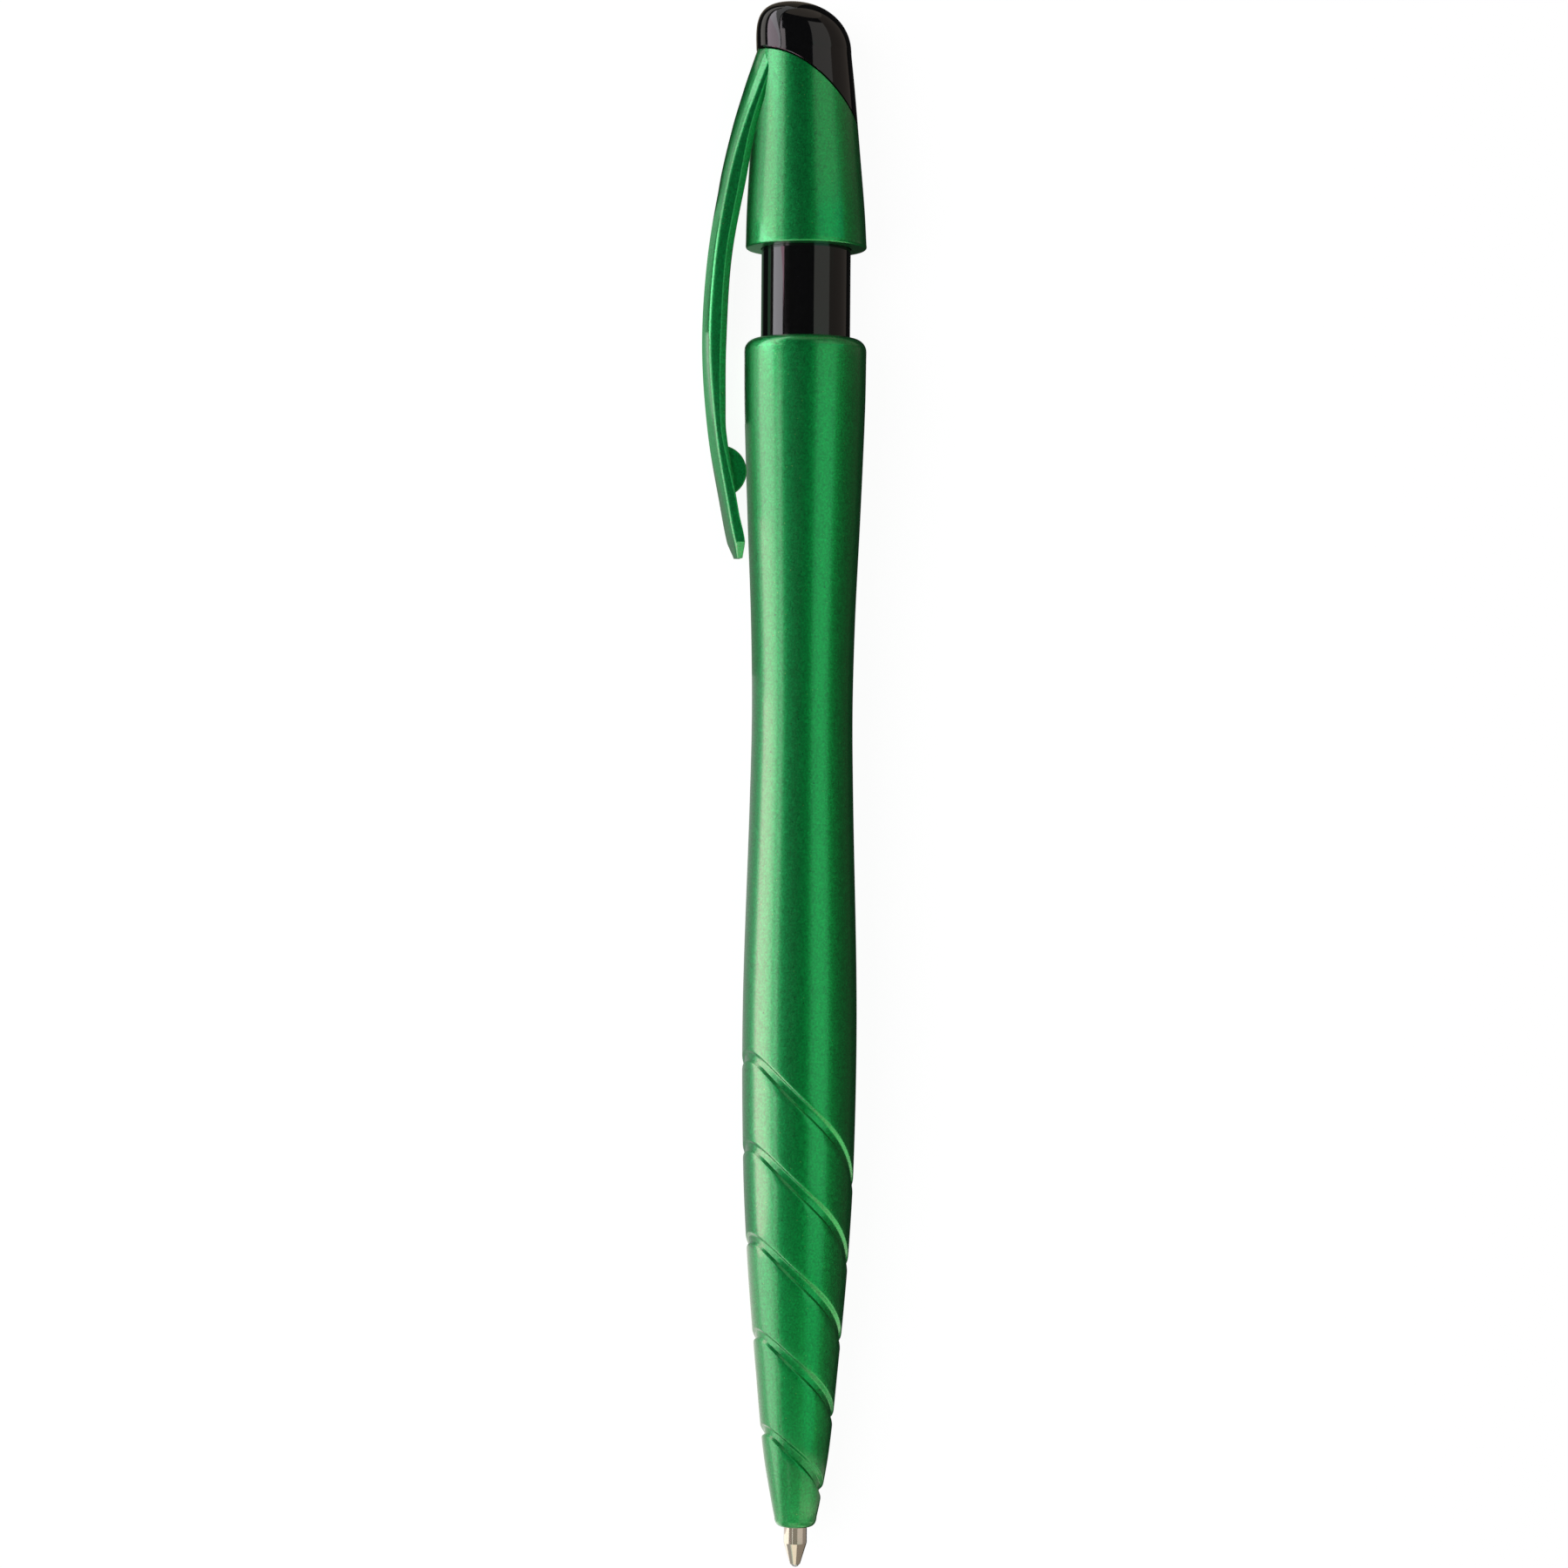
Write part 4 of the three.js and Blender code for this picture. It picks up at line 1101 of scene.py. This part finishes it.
def add_sheets():
    for name, low, high, start, end, radius, level in ARC_SHEETS:
        long_sheet(name, arc(low, high, radius), start, end, level)
    for name, near, far, height, start, end, level in FLOOR_STRIPS:
        long_sheet(name, [(near, height), (far, height)], start, end, level)
    wall = [(END_WALL * MM, y, z) for y, z in (
        (-END_WALL_REACH, 0), (END_WALL_REACH, 0), (END_WALL_REACH, END_WALL_REACH),
        (-END_WALL_REACH, END_WALL_REACH))]
    reflected_sheet("end_wall", wall, [(0, 1, 2, 3)], END_WALL_LEVEL)


def add_lamp():
    """A soft lamp from the clip side. It isn't seen in reflections, where the sheets are."""
    lamp_data = bpy.data.lights.new("key", "AREA")
    lamp_data.shape = "DISK"
    lamp_data.size = LAMP_SIZE
    lamp_data.energy = LAMP_POWER
    lamp = bpy.data.objects.new("key", lamp_data)
    elevation = math.radians(LAMP_ELEVATION)
    away = Vector((0, math.cos(elevation), math.sin(elevation)))
    lamp.location = AXIS + Vector((LAMP_PLACE, 0, 0)) + away * LAMP_DISTANCE
    lamp.rotation_mode = "QUATERNION"
    lamp.rotation_quaternion = away.to_track_quat("Z", "Y")
    lamp.visible_glossy = False
    scene.collection.objects.link(lamp)


def seen_directly(tree):
    """1 for camera, glossy and transmission rays, 0 for the rest."""
    path = tree.nodes.new("ShaderNodeLightPath")
    seen = path.outputs["Is Camera Ray"]
    for ray in ("Is Glossy Ray", "Is Transmission Ray"):
        either = tree.nodes.new("ShaderNodeMath")
        either.operation = "MAXIMUM"
        tree.links.new(seen, either.inputs[0])
        tree.links.new(path.outputs[ray], either.inputs[1])
        seen = either.outputs[0]
    return seen


def add_world():
    """A world that is pale to the eye and in reflections, and lights the pen more weakly."""
    world = bpy.data.worlds.new("studio")
    scene.world = world
    world.use_nodes = True
    tree = world.node_tree
    tree.nodes.clear()
    level = tree.nodes.new("ShaderNodeMix")
    level.inputs["A"].default_value = WORLD_LEVEL
    level.inputs["B"].default_value = 1.0
    tree.links.new(seen_directly(tree), level.inputs["Factor"])
    light = tree.nodes.new("ShaderNodeBackground")
    tree.links.new(level.outputs["Result"], light.inputs["Strength"])
    tree.links.new(light.outputs[0], tree.nodes.new("ShaderNodeOutputWorld").inputs[0])


def add_floor():
    """A white floor. Its own glow makes it white to the eye, and the lamp leaves a soft shadow."""
    mesh = bpy.data.meshes.new("floor")
    corners = [(x * FLOOR_REACH, y * FLOOR_REACH, 0)
               for x, y in ((-1, -1), (1, -1), (1, 1), (-1, 1))]
    mesh.from_pydata(corners, [], [(0, 1, 2, 3)])
    floor = bpy.data.objects.new("floor", mesh)
    scene.collection.objects.link(floor)
    material = bpy.data.materials.new("floor")
    material.use_nodes = True
    tree = material.node_tree
    shader = tree.nodes["Principled BSDF"]
    shader.inputs["Base Color"].default_value = FLOOR_COLOUR
    shader.inputs["Roughness"].default_value = 0.9
    shader.inputs["Specular IOR Level"].default_value = 0.0
    shader.inputs["Emission Color"].default_value = (1, 1, 1, 1)
    glow = tree.nodes.new("ShaderNodeMath")
    glow.operation = "MULTIPLY"
    glow.inputs[1].default_value = FLOOR_GLOW
    tree.links.new(seen_directly(tree), glow.inputs[0])
    tree.links.new(glow.outputs[0], shader.inputs["Emission Strength"])
    mesh.materials.append(material)


def add_camera():
    away = Vector((0, math.cos(CAMERA_ELEVATION), math.sin(CAMERA_ELEVATION)))
    along = Vector((1, 0, 0))
    across = along.cross(away)
    up = along * math.cos(CAMERA_ROLL) - across * math.sin(CAMERA_ROLL)
    right = along * math.sin(CAMERA_ROLL) + across * math.cos(CAMERA_ROLL)
    aim = AXIS + along * CAMERA_AIM * MM - across * CAMERA_SIDE * MM
    data = bpy.data.cameras.new("camera")
    data.sensor_width = SENSOR
    data.sensor_height = SENSOR
    data.lens = SENSOR * CAMERA_DISTANCE / FRAME_HEIGHT
    data.clip_start = 0.01
    camera = bpy.data.objects.new("camera", data)
    rotation = Matrix((right, up, away)).transposed().to_4x4()
    camera.matrix_world = Matrix.Translation(aim + away * CAMERA_DISTANCE * MM) @ rotation
    scene.collection.objects.link(camera)
    scene.camera = camera


# Assembly

green = green_metallic()
black = black_gloss()
make_barrel(green)
make_clip_sleeve(green)
make_head_cap(black)
make_plunger_tube(black)
make_point(nickel_silver())
make_ball(carbide())
make_refill_tube(clear_plastic())
make_spring(spring_steel())
finish_node("guide_sleeve", moulded("white_plastic", WHITE_PLASTIC, 0.45))
finish_node("index_cam", moulded("grey_plastic", GREY_PLASTIC, 0.5))
finish_node("ink_column", ink())
add_floor()
add_sheets()
add_lamp()
add_world()
add_camera()
